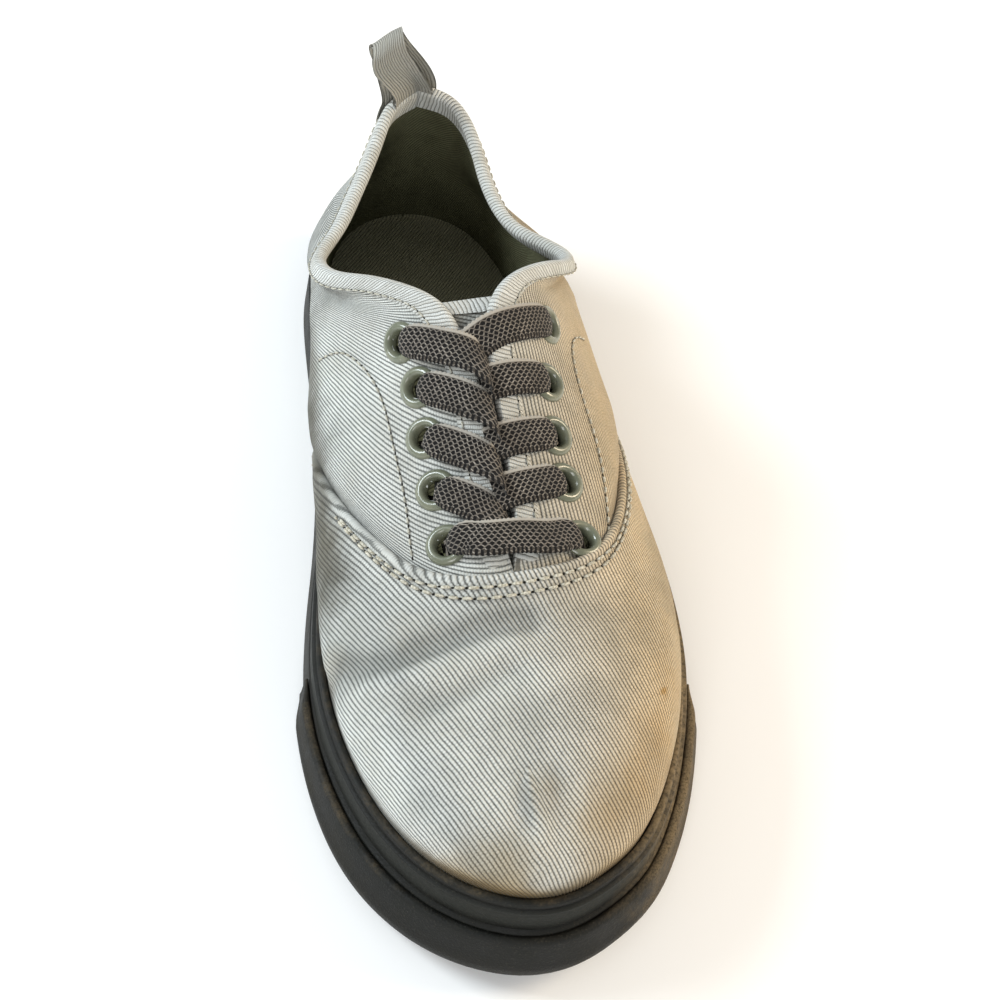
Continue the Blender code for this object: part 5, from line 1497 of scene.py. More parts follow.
    def insole_piece(self, material: Material) -> None:
        """Insole: from side to side at each station, its middle sunk like a worn footbed."""
        a = np.linspace(0.002, 0.998, 110)
        inset = UPPER_WALL + GAP
        sides = []
        for side in Side:
            sides.append(self.last.feather(side, a) - self.last.outward(side, a) * inset)
        u = np.linspace(0.0, 1.0, 33)[None, :, None]
        plan = sides[0][:, None] * (1.0 - u) + sides[1][:, None] * u
        y = plan[..., 1]
        level = self.last.bed(y) + GAP + INSOLE_THICK
        dish = np.sin(math.pi * u[..., 0]) ** 0.5 * INSOLE_CUP
        edge = 0.8 * MM * (np.abs(2.0 * u[..., 0] - 1.0) ** 16)
        grid = np.concatenate([plan, (level - dish - edge)[..., None]], -1)
        piece = add_grid("footbed", grid, plan)
        paint(piece, "shade", 0.8 * smooth((corners_of(piece)[:, 1] / MM - 30.0) / 60.0))
        finish_piece(piece, material, "insole_cloth", "insole")


# Finishes
def tone(red: int, green: int, blue: int) -> tuple[float, float, float, float]:
    """Linear colour of an eight-bit screen colour."""
    share = np.array([red, green, blue]) / 255.0
    linear = np.where(share <= 0.04045, share / 12.92, ((share + 0.055) / 1.055) ** 2.4)
    return (*(float(v) for v in linear), 1.0)


class Graph:
    """A node tree with short calls for the nodes that the finishes use."""

    def __init__(self, tree: Tree) -> None:
        """Keep the tree."""
        self.tree = tree

    def node(self, kind: str, inputs: dict[str | int, object] | None = None,
             **settings: object) -> bpy.types.Node:
        """Add a node.

        Args:
            kind: Blender's name of the node.
            inputs: values or sockets by input name or number.
            settings: the node's own settings.

        Returns:
            The node.
        """
        made = self.tree.nodes.new(kind)
        for key, value in settings.items():
            setattr(made, key, value)
        for key, value in (inputs or {}).items():
            self.put(made.inputs[key], value)
        return made

    def put(self, socket: Socket, value: object) -> None:
        """Link a socket to another one, or set its value."""
        if isinstance(value, Socket):
            self.tree.links.new(value, socket)
        else:
            socket.default_value = value

    def math(self, operation: str, a: object, b: object = 0.0, clamp: bool = False) -> Socket:
        """One sum of two values."""
        return self.node("ShaderNodeMath", {0: a, 1: b}, operation=operation, use_clamp=clamp).outputs[0]

    def times(self, *values: object) -> Socket:
        """Product of several values."""
        made = values[0]
        for value in values[1:]:
            made = self.math("MULTIPLY", made, value)
        return made

    def plus(self, *values: object) -> Socket:
        """Sum of several values."""
        made = values[0]
        for value in values[1:]:
            made = self.math("ADD", made, value)
        return made

    def ramp(self, value: object, low: float, high: float, first: float = 0.0, last: float = 1.0) -> Socket:
        """Soft step of a value from first to last between low and high."""
        inputs = {"Value": value, "From Min": low, "From Max": high, "To Min": first, "To Max": last}
        return self.node("ShaderNodeMapRange", inputs, interpolation_type="SMOOTHSTEP").outputs[0]

    def mix(self, factor: object, a: object, b: object, blend: str = "MIX") -> Socket:
        """Two colours mixed by a factor."""
        made = self.node("ShaderNodeMix", data_type="RGBA", blend_type=blend, clamp_factor=True)
        self.put(made.inputs["Factor"], factor)
        self.put(made.inputs[6], a)
        self.put(made.inputs[7], b)
        return made.outputs[2]

    def noise(self, vector: Socket, scale: object, detail: float = 2.0, roughness: float = 0.5) -> Socket:
        """Cloudy values between 0 and 1, scale in turns per metre on Object coordinates."""
        inputs = {"Vector": vector, "Scale": scale, "Detail": detail, "Roughness": roughness}
        return self.node("ShaderNodeTexNoise", inputs).outputs["Fac"]

    def stretched(self, vector: Socket, x: float, y: float, z: float = 1.0, turn: float = 0.0) -> Socket:
        """A vector turned about Z and scaled along each axis."""
        made = self.node(
            "ShaderNodeMapping", {"Vector": vector, "Scale": (x, y, z), "Rotation": (0.0, 0.0, turn)})
        return made.outputs[0]

    def shake(self, vector: Socket, scale: object, detail: float = 2.0, roughness: float = 0.5) -> Socket:
        """Cloudy values between minus and plus a half."""
        return self.math("SUBTRACT", self.noise(vector, scale, detail, roughness), 0.5)

    def split(self, vector: Socket) -> bpy.types.bpy_prop_collection:
        """The three parts of a vector."""
        return self.node("ShaderNodeSeparateXYZ", {0: vector}).outputs

    def wave(self, operation: str, *turns: object) -> Socket:
        """SINE or COSINE of a product given in whole turns."""
        return self.math(operation, self.times(*turns, TURN))

    def read(self, name: str) -> Socket:
        """A number kept on the mesh's corners."""
        return self.node("ShaderNodeAttribute", attribute_name=name).outputs["Fac"]

    def cloth(self) -> Socket:
        """Places on the flat cloth, millimetres."""
        return self.node("ShaderNodeAttribute", attribute_name="cloth").outputs["Vector"]

    def place(self) -> Socket:
        """Object coordinates."""
        return self.node("ShaderNodeTexCoord").outputs["Object"]

    def use(self, group: Tree, **inputs: object) -> bpy.types.Node:
        """Place a node group with its own values."""
        made = self.node("ShaderNodeGroup", node_tree=group)
        for key, value in inputs.items():
            self.put(made.inputs[key], value)
        return made


class Effect:
    """A node group that several finishes share."""

    def __init__(self, name: str, inputs: dict[str, object], outputs: tuple[str, ...]) -> None:
        """Make the group's sockets.

        Args:
            name: the effect's name.
            inputs: default of each input; a tuple of three makes a vector.
            outputs: names of the values that it puts out.
        """
        self.tree = bpy.data.node_groups.new(name, "ShaderNodeTree")
        for key, value in inputs.items():
            kind = "NodeSocketVector" if isinstance(value, tuple) else "NodeSocketFloat"
            self.tree.interface.new_socket(key, in_out="INPUT", socket_type=kind).default_value = value
        for key in outputs:
            self.tree.interface.new_socket(key, in_out="OUTPUT", socket_type="NodeSocketFloat")
        self.graph = Graph(self.tree)
        self.inputs = self.graph.node("NodeGroupInput").outputs
        self.outputs = self.graph.node("NodeGroupOutput").inputs

    def give(self, **values: Socket) -> Tree:
        """Link the outputs."""
        for key, value in values.items():
            self.graph.put(self.outputs[key], value)
        return self.tree


def twill_effect() -> Tree:
    """Twill: rounded ribs at an angle, each cut into staggered thread segments.

    Along a rib runs a = x cos + y sin, across it b = y cos - x sin, bent a little by slow noise. The rib's
    height is |sin(pi b / pitch)| to the power 0.7, times 0.59 to 1.02 along the segments.
    """
    made = Effect("Twill", {"Cloth": ORIGIN, "Angle": 0.0, "Pitch": 0.95, "Segment": 0.9, "Wander": 0.4},
                  ("Height", "Groove", "Thread"))
    g = made.graph
    apart = g.split(made.inputs["Cloth"])
    cosine = g.math("COSINE", made.inputs["Angle"])
    sine = g.math("SINE", made.inputs["Angle"])
    along = g.plus(g.times(apart[0], cosine), g.times(apart[1], sine))
    drift, shake = g.shake(made.inputs["Cloth"], 0.11), g.shake(made.inputs["Cloth"], 0.9, 1.0)
    bent = g.plus(g.times(drift, made.inputs["Wander"], 2.0), g.times(shake, made.inputs["Wander"], 0.35))
    across = g.plus(g.math("SUBTRACT", g.times(apart[1], cosine), g.times(apart[0], sine)), bent)
    phase = g.math("DIVIDE", across, made.inputs["Pitch"])
    rib = g.math("POWER", g.math("ABSOLUTE", g.math("SINE", g.times(phase, math.pi))), 0.7)
    row = g.math("FLOOR", phase)
    stagger = g.plus(g.math("DIVIDE", along, made.inputs["Segment"]), g.times(row, 0.37))
    wave = g.wave("SINE", stagger)
    key = g.node("ShaderNodeCombineXYZ", {0: row, 1: g.math("FLOOR", stagger), 2: 0.0}).outputs[0]
    chance = g.node("ShaderNodeTexWhiteNoise", {"Vector": key}, noise_dimensions="2D").outputs["Value"]
    segment = g.plus(g.times(wave, 0.13), 0.72, g.times(chance, 0.17))
    height = g.times(rib, segment)
    # The second output is painted shade, 1 in the grooves between ribs
    return made.give(Height=height, Groove=g.ramp(height, 0.30, 0.78, 1.0, 0.0), Thread=chance)


def rib_effect() -> Tree:
    """Ribbed tape: rounded, slightly slanted cords side by side, with fine cross threads."""
    made = Effect("Ribs", {"Cloth": ORIGIN, "Pitch": 1.3, "Slant": 0.2}, ("Height", "Groove", "Thread"))
    g = made.graph
    apart = g.split(made.inputs["Cloth"])
    drift = g.times(g.shake(made.inputs["Cloth"], 0.35), 0.8)
    slanted = g.plus(apart[0], g.times(apart[1], made.inputs["Slant"]), drift)
    phase = g.math("DIVIDE", slanted, made.inputs["Pitch"])
    rib = g.math("POWER", g.math("ABSOLUTE", g.math("SINE", g.times(phase, math.pi))), 0.6)
    row = g.math("FLOOR", phase)
    fine = g.wave("SINE", g.plus(g.times(apart[1], 1.6), g.times(row, 0.5)))
    chance = g.node("ShaderNodeTexWhiteNoise", {"W": row}, noise_dimensions="1D").outputs["Value"]
    height = g.times(rib, g.plus(0.82, g.times(fine, 0.12), g.times(chance, 0.08)))
    # The second output is painted shade, 1 in the grooves between cords
    return made.give(Height=height, Groove=g.ramp(height, 0.25, 0.65, 1.0, 0.0), Thread=chance)


def knit_effect() -> Tree:
    """Knitted elastic: a lattice of holes from a cosine along and one across, every other row moved."""
    made = Effect("Knit", {"Cloth": ORIGIN, "Along": 1.75, "Across": 2.1}, ("Height", "Hole", "Thread"))
    g = made.graph
    apart = g.split(made.inputs["Cloth"])
    shake = g.times(g.shake(made.inputs["Cloth"], 0.9), 1.1)
    rough = g.times(g.shake(made.inputs["Cloth"], 1.6), 0.5)
    along = g.math("DIVIDE", g.plus(apart[0], shake), made.inputs["Along"])
    u = g.wave("COSINE", along)
    v = g.wave("COSINE", g.math("DIVIDE", g.plus(apart[1], g.times(shake, 0.25)), made.inputs["Across"]))
    lattice = g.math("ABSOLUTE", g.times(g.plus(g.times(u, 0.85), g.times(v, 1.15)), 0.5))
    slope = g.times(g.wave("SINE", along), g.wave("SINE", g.math("DIVIDE", apart[1], made.inputs["Across"])))
    knot = g.ramp(g.math("ABSOLUTE", g.times(g.math("SUBTRACT", u, v), 0.5)), 0.4, 1.0, 1.0, 0.45)
    stroke = g.times(g.plus(0.72, g.times(slope, 0.28)), knot)
    side = g.math("ABSOLUTE", apart[1])
    inner = g.ramp(side, 3.7, 4.0, 1.0, 0.0)
    tick = g.wave("SINE", g.plus(apart[0], g.times(shake, 0.4)), 1.0 / 1.25)
    lower = g.times(g.ramp(side, 3.6, 3.9), g.ramp(apart[1], -1.0, 0.0, 1.0, 0.0))
    gaps = g.times(g.ramp(tick, -0.35, 0.15), lower)
    hole = g.math("MAXIMUM", g.times(g.ramp(g.plus(lattice, rough), 0.24, 0.46), inner), gaps)
    fine = g.noise(g.stretched(made.inputs["Cloth"], 0.8, 3.0), 1.0, 2.0)
    height = g.math("SUBTRACT", g.plus(1.0, g.times(fine, 0.4)), g.times(hole, 1.3))
    # Painted highlight along the middle of each yarn stroke, dimmer at the crossings
    thread = g.times(g.ramp(lattice, 0.0, 0.34, 1.0, 0.0), stroke)
    return made.give(Height=height, Hole=hole, Thread=thread)


def dirt_effect() -> Tree:
    """Dirt: a painted amount broken up by coarse and fine noise, strongest where the amount is high."""
    made = Effect("Dirt", {"Place": ORIGIN, "Amount": 0.0, "Scale": 90.0, "Spread": 0.5}, ("Mask", "Fleck"))
    g = made.graph
    place, scale = made.inputs["Place"], made.inputs["Scale"]
    level = g.plus(made.inputs["Amount"], g.times(g.shake(place, scale, 5.0, 0.65), made.inputs["Spread"]))
    mask = g.times(g.ramp(level, 0.02, 0.9), g.ramp(made.inputs["Amount"], 0.0, 0.12))
    fine = g.noise(place, 1500.0, 3.0, 0.7)
    return made.give(Mask=mask, Fleck=g.ramp(fine, 0.56, 0.74))


@dataclass
class Effects:
    """The shared node groups, built once."""

    twill: Tree = field(default_factory=twill_effect)
    ribs: Tree = field(default_factory=rib_effect)
    knit: Tree = field(default_factory=knit_effect)
    dirt: Tree = field(default_factory=dirt_effect)


def new_material(name: str, **constants: object) -> tuple[Material, Graph, dict[str, Socket]]:
    """A material with its shader.

    Args:
        name: the finish's name.
        constants: the shader's own values, with _ for a space.

    Returns:
        The material, its graph and the shader's inputs.
    """
    material = bpy.data.materials.new(name)
    material.use_nodes = True
    graph = Graph(material.node_tree)
    shader = material.node_tree.nodes["Principled BSDF"]
    for key, value in constants.items():
        shader.inputs[key.replace("_", " ")].default_value = value
    return material, graph, shader.inputs


def add_relief(graph: Graph, inputs: dict[str, Socket], height: Socket, depth: float,
               strength: float = 1.0) -> None:
    """Feed a height into the shader's normal; depth is in metres."""
    bump = graph.node("ShaderNodeBump", {"Strength": strength, "Distance": depth, "Height": height})
    graph.put(inputs["Normal"], bump.outputs["Normal"])


@dataclass(frozen=True)
class CanvasFinish:
    """Worn off-white twill with dirt, stains, painted shade, and a painted warm light on the lateral side."""

    name: str
    angle: float
    lateral_turn: float = 0.0
    pitch: float = 1.2
    light: Screen = (226, 228, 224)
    dark: Screen = (86, 89, 86)
    warm: Screen = (226, 196, 146)
    soil: Screen = (98, 92, 76)
    stain: Screen = (206, 172, 104)

    def material(self, effects: Effects) -> Material:
        """Ribs lit by thread, grooves in painted shade, painted warm light, soil and stains over both, then
        painted shade.
        """
        material, g, inputs = new_material(
            self.name, Roughness=0.95, Specular_IOR_Level=0.15, Sheen_Weight=0.12, Sheen_Roughness=0.5)
        cloth, place = g.cloth(), g.place()
        angle = g.plus(math.radians(self.angle), g.times(g.read("lateral"), math.radians(self.lateral_turn)))
        twill = g.use(effects.twill, Cloth=cloth, Angle=angle, Pitch=self.pitch).outputs
        cloud = g.noise(place, 55.0, 4.0, 0.6)
        fuzz = g.noise(place, 2600.0, 2.0, 0.6)
        # Painted warm light on the lateral side's threads
        thread = g.mix(g.times(g.read("warm"), 1.0), tone(*self.light), tone(*self.warm))
        worn = g.mix(g.plus(g.times(twill["Thread"], 0.22), g.ramp(cloud, 0.35, 0.75, 0.0, 0.28)), thread,
                     tone(176, 172, 158))
        # Grooves darkened with painted shade, warmer under the painted warm light
        groove = g.mix(g.times(g.read("warm"), 0.6), tone(*self.dark), tone(132, 112, 80))
        woven = g.mix(g.times(twill["Groove"], g.ramp(fuzz, 0.2, 0.8, 1.0, 0.6)), worn, groove)
        # Soil on the vamp and quarters; on the tongue this darkening is painted shade
        soil = g.use(effects.dirt, Place=place, Amount=g.read("soil"), Scale=110.0, Spread=0.7).outputs
        soiled = g.mix(g.times(soil["Mask"], 0.85), woven, tone(*self.soil), "MULTIPLY")
        soiled = g.mix(g.times(soil["Mask"], 0.45), soiled, tone(*self.soil))
        stain = g.use(effects.dirt, Place=place, Amount=g.read("stain"), Scale=75.0, Spread=0.45).outputs
        stained = g.mix(g.times(stain["Mask"], 0.75), soiled, tone(*self.stain), "MULTIPLY")
        stained = g.mix(g.times(stain["Mask"], 0.25), stained, tone(160, 130, 74))
        grey = g.times(g.ramp(g.noise(place, 34.0, 4.0, 0.6), 0.38, 0.75), 0.42)
        final = g.mix(grey, stained, tone(150, 152, 148), "MULTIPLY")
        # Painted shade in the creases' troughs and in the patches
        final = g.mix(g.ramp(g.read("hollow"), 0.0, 1.2, 0.0, 0.62), final, tone(150, 152, 152), "MULTIPLY")
        # Painted shadow and dirt along the seam, painted shadow in the stitch troughs, painted shade under
        # the tongue's eyelets
        final = g.mix(g.times(g.read("seam"), 0.9), final, tone(46, 44, 38))
        g.put(inputs["Base Color"], final)
        height = g.plus(twill["Height"], g.times(fuzz, 0.25))
        add_relief(g, inputs, height, 0.00042)
        return material


@dataclass(frozen=True)
class TapeFinish:
    """Ribbed off-white tape."""

    name: str
    pitch: float = 1.3
    slant: float = 0.22
    light: Screen = (220, 222, 219)
    dark: Screen = (140, 139, 131)

    def material(self, effects: Effects) -> Material:
        """Cords and grooves, greyed and darkened in clouds."""
        material, g, inputs = new_material(
            self.name, Roughness=0.92, Specular_IOR_Level=0.15, Sheen_Weight=0.12, Sheen_Roughness=0.5)
        cloth, place = g.cloth(), g.place()
        ribs = g.use(effects.ribs, Cloth=cloth, Pitch=self.pitch, Slant=self.slant).outputs
        cloud = g.noise(place, 60.0, 4.0, 0.65)
        fuzz = g.noise(place, 2600.0, 2.0)
        grey = g.plus(g.times(ribs["Thread"], 0.25), g.ramp(cloud, 0.4, 0.75, 0.0, 0.30))
        worn = g.mix(grey, tone(*self.light), tone(166, 160, 144))
        # Painted shade in the grooves between cords
        woven = g.mix(g.times(ribs["Groove"], 0.9), worn, tone(*self.dark))
        g.put(inputs["Base Color"], woven)
        add_relief(g, inputs, g.plus(ribs["Height"], g.times(fuzz, 0.25)), 0.0004)
        return material


@dataclass(frozen=True)
class LiningFinish:
    """Soiled plain weave inside the shoe."""

    name: str
    light: Screen
    dark: Screen
    pitch: float = 1.0

    def material(self, effects: Effects) -> Material:
        """Fine twill in one soiled colour with cloudy patches."""
        material, g, inputs = new_material(self.name, Roughness=0.97, Specular_IOR_Level=0.1)
        place = g.place()
        twill = g.use(effects.twill, Cloth=g.cloth(), Angle=0.9, Pitch=self.pitch, Segment=0.9).outputs
        cloud = g.noise(place, 70.0, 5.0, 0.65)
        base = g.mix(g.ramp(cloud, 0.35, 0.72), tone(*self.light), tone(*self.dark))
        base = g.mix(g.read("shade"), base, tone(158, 155, 131))
        # Painted shade in the twill's grooves
        final = g.mix(g.times(twill["Groove"], 0.42), base, tone(24, 23, 16))
        g.put(inputs["Base Color"], final)
        add_relief(g, inputs, twill["Height"], 0.0003)
        return material


@dataclass(frozen=True)
class RubberFinish:
    """Charcoal rubber, dull and dusty."""

    name: str
    body: Screen = (11, 12, 9)
    pale: Screen = (21, 22, 18)
    dust: Screen = (150, 130, 98)
    band: bool = True
    grain: float = 900.0
    painted: bool = True

    def material(self, effects: Effects) -> Material:
        """Mottled rubber, a paler smooth band, pale speckles and tan dust where it lies thick, with painted
        warm light.
        """
        material, g, inputs = new_material(self.name, Specular_IOR_Level=0.28)
        place = g.place()
        cloud = g.noise(place, 85.0, 5.0, 0.65)
        fine = g.noise(place, self.grain, 3.0, 0.65)
        base = g.mix(g.ramp(cloud, 0.35, 0.70), tone(*self.body), tone(*self.pale))
        if self.band:
            base = g.mix(g.times(g.read("band"), g.ramp(fine, 0.3, 0.7, 0.35, 0.6)), base, tone(42, 44, 39))
        # Dust, with painted warm light on the lateral side
        amount = g.read("dust") if self.painted else 0.22
        dirt = g.use(effects.dirt, Place=place, Amount=amount, Scale=120.0, Spread=0.9).outputs
        flecks = g.times(dirt["Fleck"], g.ramp(cloud, 0.25, 0.8, 0.10, 0.5))
        dusted_and_lit = g.mix(g.times(dirt["Mask"], g.ramp(fine, 0.3, 0.65, 0.25, 0.85)), base, tone(*self.dust))
        dusted_and_lit = g.mix(flecks, dusted_and_lit, tone(84, 80, 68))
        if self.painted:
            low = g.times(g.read("low"), g.ramp(cloud, 0.3, 0.75, 0.15, 0.7))
            dusted_and_lit = g.mix(low, dusted_and_lit, tone(46, 41, 31))
        g.put(inputs["Base Color"], dusted_and_lit)
        g.put(inputs["Roughness"], g.ramp(g.plus(cloud, g.times(dirt["Mask"], 0.4)), 0.3, 1.0, 0.52, 0.85))
        add_relief(g, inputs, g.plus(fine, g.times(cloud, 0.8), g.times(dirt["Fleck"], 0.35)), 0.00022)
        return material


@dataclass(frozen=True)
class LaceFinish:
    """Warm grey knitted elastic with near-black holes."""

    name: str = "Lace knit"
    yarn: Screen = (186, 177, 166)
    hole: Screen = (20, 19, 18)

    def material(self, effects: Effects) -> Material:
        """Yarn round a lattice of holes, with painted highlights on its strokes, paler at the edges."""
        material, g, inputs = new_material(self.name, Roughness=0.9, Specular_IOR_Level=0.2, Sheen_Weight=0.1)
        cloth, place = g.cloth(), g.place()
        knit = g.use(effects.knit, Cloth=cloth).outputs
        side = g.split(cloth)[1]
        rim = g.ramp(side, 4.0, 4.4, 0.0, 0.9)
        cloud = g.noise(place, 120.0, 4.0)
        # Painted highlight and shade on the yarn strokes
        pale = g.times(knit["Thread"], g.ramp(cloud, 0.3, 0.7, 1.0, 0.55))
        yarn = g.mix(pale, tone(70, 64, 57), tone(*self.yarn))
        yarn = g.mix(rim, yarn, tone(176, 170, 160))
        g.put(inputs["Base Color"], g.mix(knit["Hole"], yarn, tone(*self.hole)))
        add_relief(g, inputs, knit["Height"], 0.0004)
        return material


@dataclass(frozen=True)
class EyeletFinish:
    """Glossy grey-green enamel on metal, chipped here and there."""

    name: str = "Painted eyelet"
    enamel: Screen = (108, 112, 94)
    metal: Screen = (150, 150, 140)

    def material(self, effects: Effects) -> Material:
        """Enamel with small chips of bare metal and a dusting."""
        material, g, inputs = new_material(self.name, Coat_Weight=0.6, Coat_Roughness=0.12)
        place = g.place()
        chips = g.ramp(g.noise(place, 700.0, 4.0, 0.7), 0.62, 0.68)
        cloud = g.noise(place, 260.0, 3.0)
        enamel = g.mix(g.ramp(cloud, 0.4, 0.7, 0.0, 0.5), tone(*self.enamel), tone(128, 128, 106))
        g.put(inputs["Base Color"], g.mix(g.times(chips, 0.6), enamel, tone(*self.metal)))
        g.put(inputs["Metallic"], g.times(chips, 0.8))
        g.put(inputs["Roughness"], g.ramp(cloud, 0.3, 0.7, 0.20, 0.36))
        add_relief(g, inputs, g.plus(g.times(cloud, 0.6), g.times(chips, -0.3)), 0.00015)
        return material


@dataclass(frozen=True)
class ThreadFinish:
    """Sewing thread, or the painted shade of a needle hole."""

    name: str
    light: Screen
    dark: Screen

    def material(self, effects: Effects) -> Material:
        """Two tones in a fine twist."""
        material, g, inputs = new_material(self.name, Roughness=0.9, Specular_IOR_Level=0.2)
        place = g.place()
        twist = g.noise(place, 1700.0, 2.0)
        g.put(inputs["Base Color"], g.mix(g.ramp(twist, 0.35, 0.65), tone(*self.light), tone(*self.dark)))
        add_relief(g, inputs, twist, 0.0001)
        return material


@dataclass(frozen=True)
class FloorFinish:
    """Plain near-white studio floor."""

    name: str = "Studio floor"
    level: Screen = (250, 250, 250)
    glow: float = 0.08

    def material(self, effects: Effects) -> Material:
        """One matt tone with the faintest cloud."""
        material, g, inputs = new_material(
            self.name, Roughness=0.9, Emission_Color=(1.0, 1.0, 1.0, 1.0), Emission_Strength=self.glow)
        cloud = g.noise(g.place(), 3.0, 2.0)
        g.put(inputs["Base Color"], g.mix(g.times(cloud, 0.3), tone(*self.level), tone(244, 244, 243)))
        return material


# Studio
@dataclass(frozen=True)
class Viewpoint:
    """The photograph's place and direction of view, in its own floor frame, then turned to the shoe's."""

    focal: float = 1917.177
    frame_width: float = 1000.0
    pitch: float = 0.918927
    roll: float = -0.0029872
    height: float = 482.1337 * MM
    shoe_place: tuple[float, float] = (64.1056 * MM, 356.4275 * MM)
    shoe_yaw: float = 0.0981801
    centre: tuple[float, float] = (745.0, 475.0)

    def turned(self, v: Array) -> Array:
        """Direction of the floor frame in the shoe's frame."""
        c, s = math.cos(self.shoe_yaw), math.sin(self.shoe_yaw)
        return np.array([c * v[0] + s * v[1], -s * v[0] + c * v[1], v[2]])

    def add(self) -> None:
        """Make the camera, aimed by the shortest turn at the picture's new centre."""
        ahead = np.array([0.0, math.cos(self.pitch), -math.sin(self.pitch)])
        level = np.array([1.0, 0.0, 0.0])
        downward = np.cross(ahead, level)
        c, s = math.cos(self.roll), math.sin(self.roll)
        right = c * level + s * downward
        down = -s * level + c * downward
        x, y = (np.array(self.centre) - self.frame_width / 2.0) / self.focal
        aim = Vector(ahead + right * x + down * y).normalized()
        turn = Vector(ahead).rotation_difference(aim).to_matrix()
        axes = [self.turned(np.array(turn @ Vector(v))) for v in (right, -down, -ahead)]
        eye = self.turned(np.array([-self.shoe_place[0], -self.shoe_place[1], self.height])) - PLAN_MIDDLE
        camera = bpy.data.cameras.new("Camera")
        camera.sensor_width = 36.0
        camera.lens = self.focal * 36.0 / self.frame_width
        camera.clip_start = 0.01
        obj = bpy.data.objects.new("Camera", camera)
        matrix = Matrix(np.column_stack(axes).tolist()).to_4x4()
        matrix.translation = eye.tolist()
        obj.matrix_world = matrix
        bpy.context.scene.collection.objects.link(obj)
        bpy.context.scene.camera = obj


@dataclass(frozen=True)
class SoftLight:
    """One square studio light."""

    name: str
    place: tuple[float, float, float]
    watts: float
    size: float
    colour: tuple[float, float, float] = (1.0, 1.0, 1.0)

    def add(self) -> None:
        """Aim the light at the middle of the shoe."""
        light = bpy.data.lights.new(self.name, "AREA")
        light.shape = "SQUARE"
        light.size = self.size
        light.energy = self.watts
        light.color = self.colour
        obj = bpy.data.objects.new(self.name, light)
        obj.location = self.place
        aim = Vector((0.0, 0.0, 0.04)) - Vector(self.place)
        obj.rotation_euler = aim.to_track_quat("-Z", "Y").to_euler()
        bpy.context.scene.collection.objects.link(obj)


@dataclass
class Studio:
    """Floor, sky, lights and camera."""

    lights: tuple[SoftLight, ...] = (
        SoftLight("Cool left", (-0.80, 0.32, 0.68), 9.6, 0.45, (0.88, 0.96, 1.0)),
        SoftLight("Warm right", (0.85, -0.05, 0.50), 6.8, 0.40, (1.0, 0.84, 0.62)),
        SoftLight("Front", (-0.30, -0.95, 0.55), 4.2, 0.5, (0.99, 0.99, 0.97)),
    )
    sky: float = 0.42

    def add(self, floor: Material) -> None:
        """Set up the studio."""
        grid = np.array([[x, y, 0.0] for x in (-3.0, 3.0) for y in (-3.0, 3.0)])
        piece = add_mesh("studio_floor", grid + PLAN_MIDDLE, np.array([[0, 2, 3, 1]]))
        piece.data.materials.append(floor)
        world = bpy.data.worlds.new("Sky")
        world.use_nodes = True
        shade = world.node_tree.nodes["Background"].inputs
        shade["Color"].default_value = (0.97, 0.985, 1.0, 1.0)
        shade["Strength"].default_value = self.sky
        bpy.context.scene.world = world
        bpy.context.scene.view_settings.view_transform = "Standard"
        for light in self.lights:
            light.add()
        Viewpoint().add()


def stitch_rows(canvas: Canvas, cover: Cover, tape: EdgeTape, thread: Material,
                dark_thread: Material, holes: Material) -> None:
    """Two rows along the vamp's fold, one outside each line of eyelets, darker on the medial side, and one
    along the tape.
    """
    faces_of = {"vamp": Skin("vamp"), "quarters": Skin("quarters")}
    for number, inset in enumerate(canvas.fold_rows):
        points, ups = faces_of["vamp"].settle(*canvas.fold_line(inset))
        StitchRow(f"fold_stitch_{number + 1}", points, ups, pitch=3.9 * MM, radius=0.46 * MM).add(
            thread, holes, "canvas", "upper")
    lines = {
        "medial": ((-0.815, 0.262), (-0.742, 0.226), (-0.656, 0.160), (-0.572, 0.066), (-0.524, -0.085),
                   (-0.507, -0.195), (-0.516, -0.310)),
        "lateral": ((0.742, 0.216), (0.680, 0.196), (0.635, -0.038), (0.644, -0.154), (0.610, -0.330)),
    }
    for name, shares in lines.items():
        path = Spline(np.array(shares) * PLAN_SIZE)(np.linspace(0.0, 1.0, 90))
        points, ups = cover.drape(path - PLAN_MIDDLE[:2])
        points, ups = faces_of["quarters"].settle(points + PLAN_MIDDLE, ups)
        StitchRow(f"eyelet_stitch_{name}", points, ups, pitch=3.2 * MM, share=0.66, radius=0.34 * MM).add(
            thread if name == "lateral" else dark_thread, holes, "canvas", "upper")
    points, ups = tape.stitch_line()
    StitchRow("tape_stitch", points, ups, pitch=3.2 * MM, radius=0.26 * MM).add(
        dark_thread, holes, "binding_tape", "collar_binding")


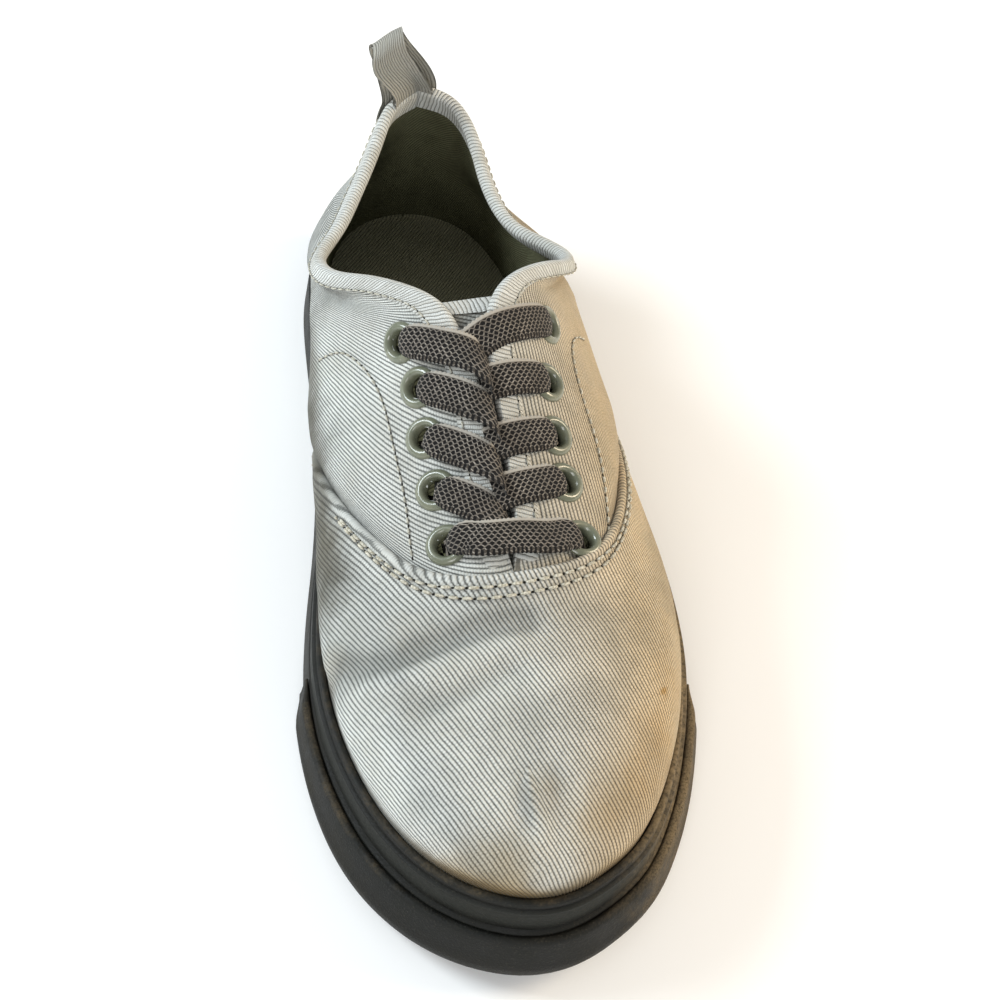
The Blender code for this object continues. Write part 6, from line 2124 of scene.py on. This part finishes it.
def main() -> None:
    """Build the sneaker piece by piece, then the studio."""
    logging.basicConfig(level=logging.INFO, format="%(name)s %(message)s")
    effects = Effects()
    last = Last()
    canvas = Canvas(last)
    canvas.build()
    cover = Cover(canvas)
    lining = LiningFinish("Lining weave", (116, 116, 90), (96, 96, 73)).material(effects)
    vamp_cloth = CanvasFinish("Vamp twill", -61.0).material(effects)
    quarter_cloth = CanvasFinish("Quarter twill", -16.0, -68.0, 1.3).material(effects)
    canvas.add(vamp_cloth, quarter_cloth, lining)
    tape_cloth = TapeFinish("Edge tape").material(effects)
    tape = EdgeTape(canvas)
    tape.build(tape_cloth)
    pale_thread = ThreadFinish("Pale thread", (214, 210, 196), (168, 162, 144)).material(effects)
    dark_thread = ThreadFinish("Fine thread", (206, 203, 190), (164, 160, 146)).material(effects)
    # Painted shade of the needle holes
    hole = ThreadFinish("Needle hole", (40, 38, 32), (28, 26, 22)).material(effects)
    stitch_rows(canvas, cover, tape, pale_thread, dark_thread, hole)
    Tongue().build(cover, CanvasFinish("Tongue twill", -62.0).material(effects), tape_cloth)
    loop_cloth = TapeFinish("Loop tape", 1.2, 0.0, (176, 174, 166), (112, 109, 100)).material(effects)
    PullLoop(canvas).build(tape, loop_cloth)
    rubber = Rubber(last)
    rubber.rim_piece(RubberFinish("Rim rubber").material(effects))
    rubber.toe_piece(RubberFinish("Toe rubber", band=False, grain=1500.0).material(effects))
    rubber.insole_piece(LiningFinish("Footbed cloth", (158, 158, 130), (138, 138, 112)).material(effects))
    enamel = EyeletFinish().material(effects)
    for side, table in ((Side.MEDIAL, MEDIAL_EYELETS), (Side.LATERAL, LATERAL_EYELETS)):
        for number, share in enumerate(table):
            x, y = np.array(share) * PLAN_SIZE
            Eyelet(f"ring_{side.name.lower()}_{number + 1}", x, y).build(cover, enamel)
    knit = LaceFinish().material(effects)
    for strap in Lacing().straps():
        strap.build(cover, knit)
    tread_rubber = RubberFinish("Tread rubber", (38, 39, 36), (56, 57, 53), band=False, painted=False)
    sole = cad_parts["outsole"]
    sole.data.materials.clear()
    sole.data.materials.append(tread_rubber.material(effects))
    Studio().add(FloorFinish().material(effects))


if __name__ == "__main__":
    main()
